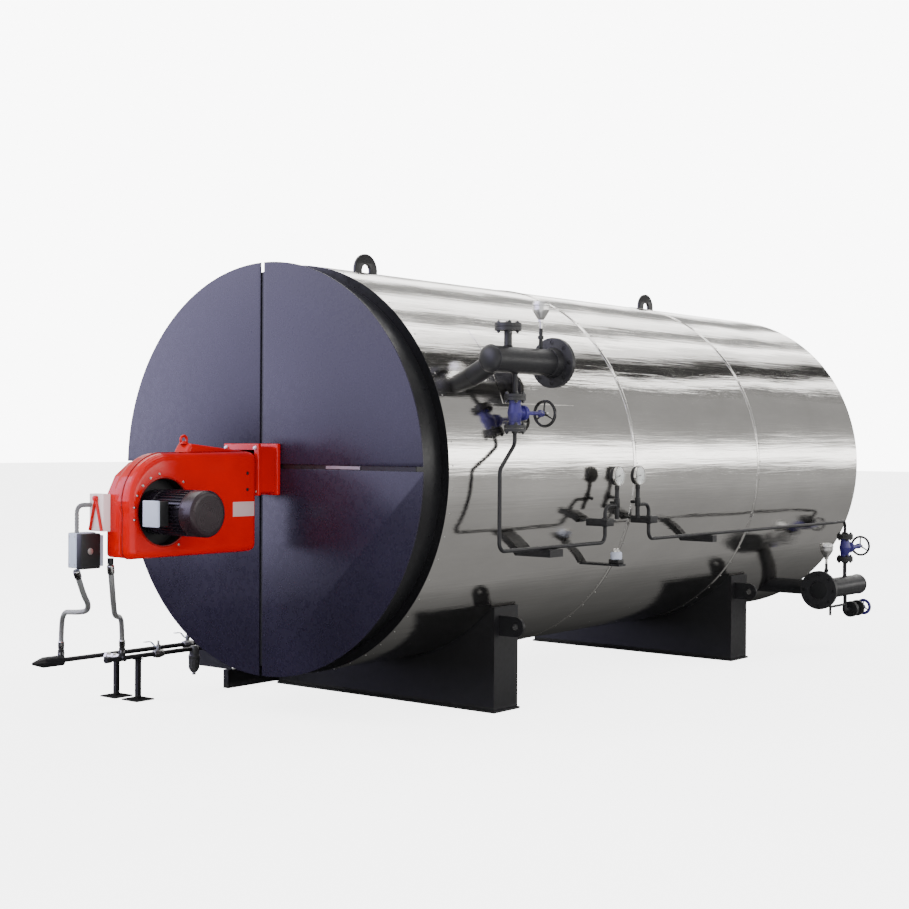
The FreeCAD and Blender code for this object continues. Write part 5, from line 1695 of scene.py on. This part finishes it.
    def eye(self):
        low, high = span("burner_eye")
        mid = (low + high) / 2
        eye = Piece("burner_lifting_eye", slot="bare_steel")
        ring = (high.y - low.y) / 2 - 0.0070
        eye.hoop(ring, 0.0070, (mid.x, mid.y, high.z - ring - 0.0072), "X", "burner_red",
                 40, 12)
        eye.lathe([(0, -0.004), (0.026, -0.004), (0.020, 0.006), (0.012, 0.010), (0, 0.010)],
                  (mid.x, mid.y, low.z), "Z", "burner_red", 32, 0.002)
        eye.done("burner_eye")

    def unit(self):
        """Oil pump and valve unit on the front of the burner."""
        low, high = span("oil_unit")
        unit = Piece("oil_unit_case", slot="grey_plastic")
        split = low.x + 0.066
        unit.block((low.x, low.y, low.z + 0.004), (split, high.y - 0.020, high.z),
                   "light_grey", 0.007, 4)
        unit.block((split - 0.004, low.y + 0.003, low.z), (high.x, high.y - 0.022,
                   high.z - 0.004), "black_plastic", 0.005)
        unit.block((low.x + 0.012, high.y - 0.024, low.z + 0.010), (high.x - 0.006, high.y,
                   high.z - 0.014), "box_grey", 0.003)
        for x in (low.x + 0.014, split - 0.012):
            for z in (low.z + 0.022, high.z - 0.018):
                unit.drum(0.0045, -0.001, 0.0012, (x, low.y + 0.0006, z), "-Y",
                          "dull_steel", 20)
        unit.drum(0.016, 0.0, 0.004, (high.x - 0.001, low.y + 0.055, low.z + 0.085), "X",
                  "dull_steel", 32, 0.001)
        unit.done("oil_unit")


class BOILER_OT_motor(bpy.types.Operator):
    """Fan motor with cooling fins, cowl and terminal box"""
    bl_idname = "boiler.motor"
    bl_label = "Fan Motor"

    def execute(self, context):
        sizes = context.scene.boiler_sizes
        low, high = span("fan_motor")
        r = (high.z - low.z) / 2
        at = Vector((0, (low.y + high.y) / 2, (low.z + high.z) / 2))
        body = Piece("motor_frame", slot="motor_black")
        core = r - 0.013
        cowl = high.x - 0.095
        body.lathe([(0, low.x), (r * 0.97, low.x), (r * 0.97, 0.150), (core, 0.156),
                    (core, cowl + 0.010), (0, cowl + 0.010)], at, "X", "motor_black", 96,
                   0.004)
        body.lathe([(0, cowl), (r - 0.001, cowl), (r - 0.001, high.x - 0.014),
                    (r - 0.012, high.x - 0.002), (r * 0.75, high.x), (0, high.x)], at, "X",
                   "cowl_brown", 96, 0.005)
        body.hoop(r - 0.0022, 0.0022, at + X * (cowl + 0.010), "X", "cowl_brown", 96, 8)
        for k in range(7):
            ring = 0.020 + 0.011 * k
            body.hoop(ring, 0.0018, at + X * (high.x - 0.001), "X", "black_plastic", 48, 8)
        body.done("fan_motor")
        spots = []
        long = cowl - 0.158
        for k in range(sizes.motor_fins):
            a = 2 * math.pi * (k + 0.5) / sizes.motor_fins
            arm = Vector((0, math.cos(a), math.sin(a)))
            spots.append((at + X * (0.156 + long / 2) + arm * (core - 0.002), arm, X, 1.0))
        scatter(fin_tree(), "motor_fins", "boiler", "motor_black", "motor_black", spots,
                thickness=0.0032, length=long, height=r - core + 0.001)
        box_low, box_high = span("motor_terminal_box")
        box = Piece("terminal_box", slot="black_plastic")
        lid = box_low.y + 0.014
        box.block((box_low.x + 0.003, lid, box_low.z + 0.003), (box_high.x - 0.003,
                  box_high.y, box_high.z - 0.003), "black_plastic", 0.005)
        box.block((box_low.x, box_low.y, box_low.z), (box_high.x, lid + 0.002, box_high.z),
                  "light_grey", 0.006, 4)
        for x in (box_low.x + 0.012, box_high.x - 0.012):
            for z in (box_low.z + 0.012, box_high.z - 0.012):
                box.drum(0.0042, -0.001, 0.0015, (x, box_low.y + 0.0015, z), "-Y",
                         "dull_steel", 16)
        box.done("motor_terminal_box")
        return {"FINISHED"}


# ---------------------------------------------------------------- panel and run

ORDER = (
    ("studio", BOILER_OT_studio), ("hoses", BOILER_OT_hoses),
    ("cladding", BOILER_OT_cladding), ("ends", BOILER_OT_ends),
    ("supports", BOILER_OT_supports), ("pipework", BOILER_OT_pipework),
    ("valves", BOILER_OT_valves), ("instruments", BOILER_OT_instruments),
    ("oil_train", BOILER_OT_oil_train), ("burner", BOILER_OT_burner),
    ("motor", BOILER_OT_motor),
)


class BOILER_PT_panel(bpy.types.Panel):
    """Sizes, colours and a button for each group of pieces"""
    bl_idname = "BOILER_PT_panel"
    bl_label = "Boiler"
    bl_space_type = "VIEW_3D"
    bl_region_type = "UI"
    bl_category = "Boiler"

    def draw(self, context):
        for group in (context.scene.boiler_sizes, context.scene.boiler_colours):
            box = self.layout.box()
            for name in group.__annotations__:
                box.prop(group, name)
        for name, _ in ORDER:
            self.layout.operator(f"boiler.{name}")


CLASSES = (BoilerSizes, BoilerColours, *(made for _, made in ORDER), BOILER_PT_panel)


def register():
    for made in CLASSES:
        bpy.utils.register_class(made)
    bpy.types.Scene.boiler_sizes = PointerProperty(type=BoilerSizes)
    bpy.types.Scene.boiler_colours = PointerProperty(type=BoilerColours)


def unregister():
    del bpy.types.Scene.boiler_colours
    del bpy.types.Scene.boiler_sizes
    for made in reversed(CLASSES):
        bpy.utils.unregister_class(made)


def main():
    register()
    make_finishes(bpy.context.scene.boiler_colours)
    for name, _ in ORDER:
        getattr(bpy.ops.boiler, name)()


if __name__ == "__main__":
    main()
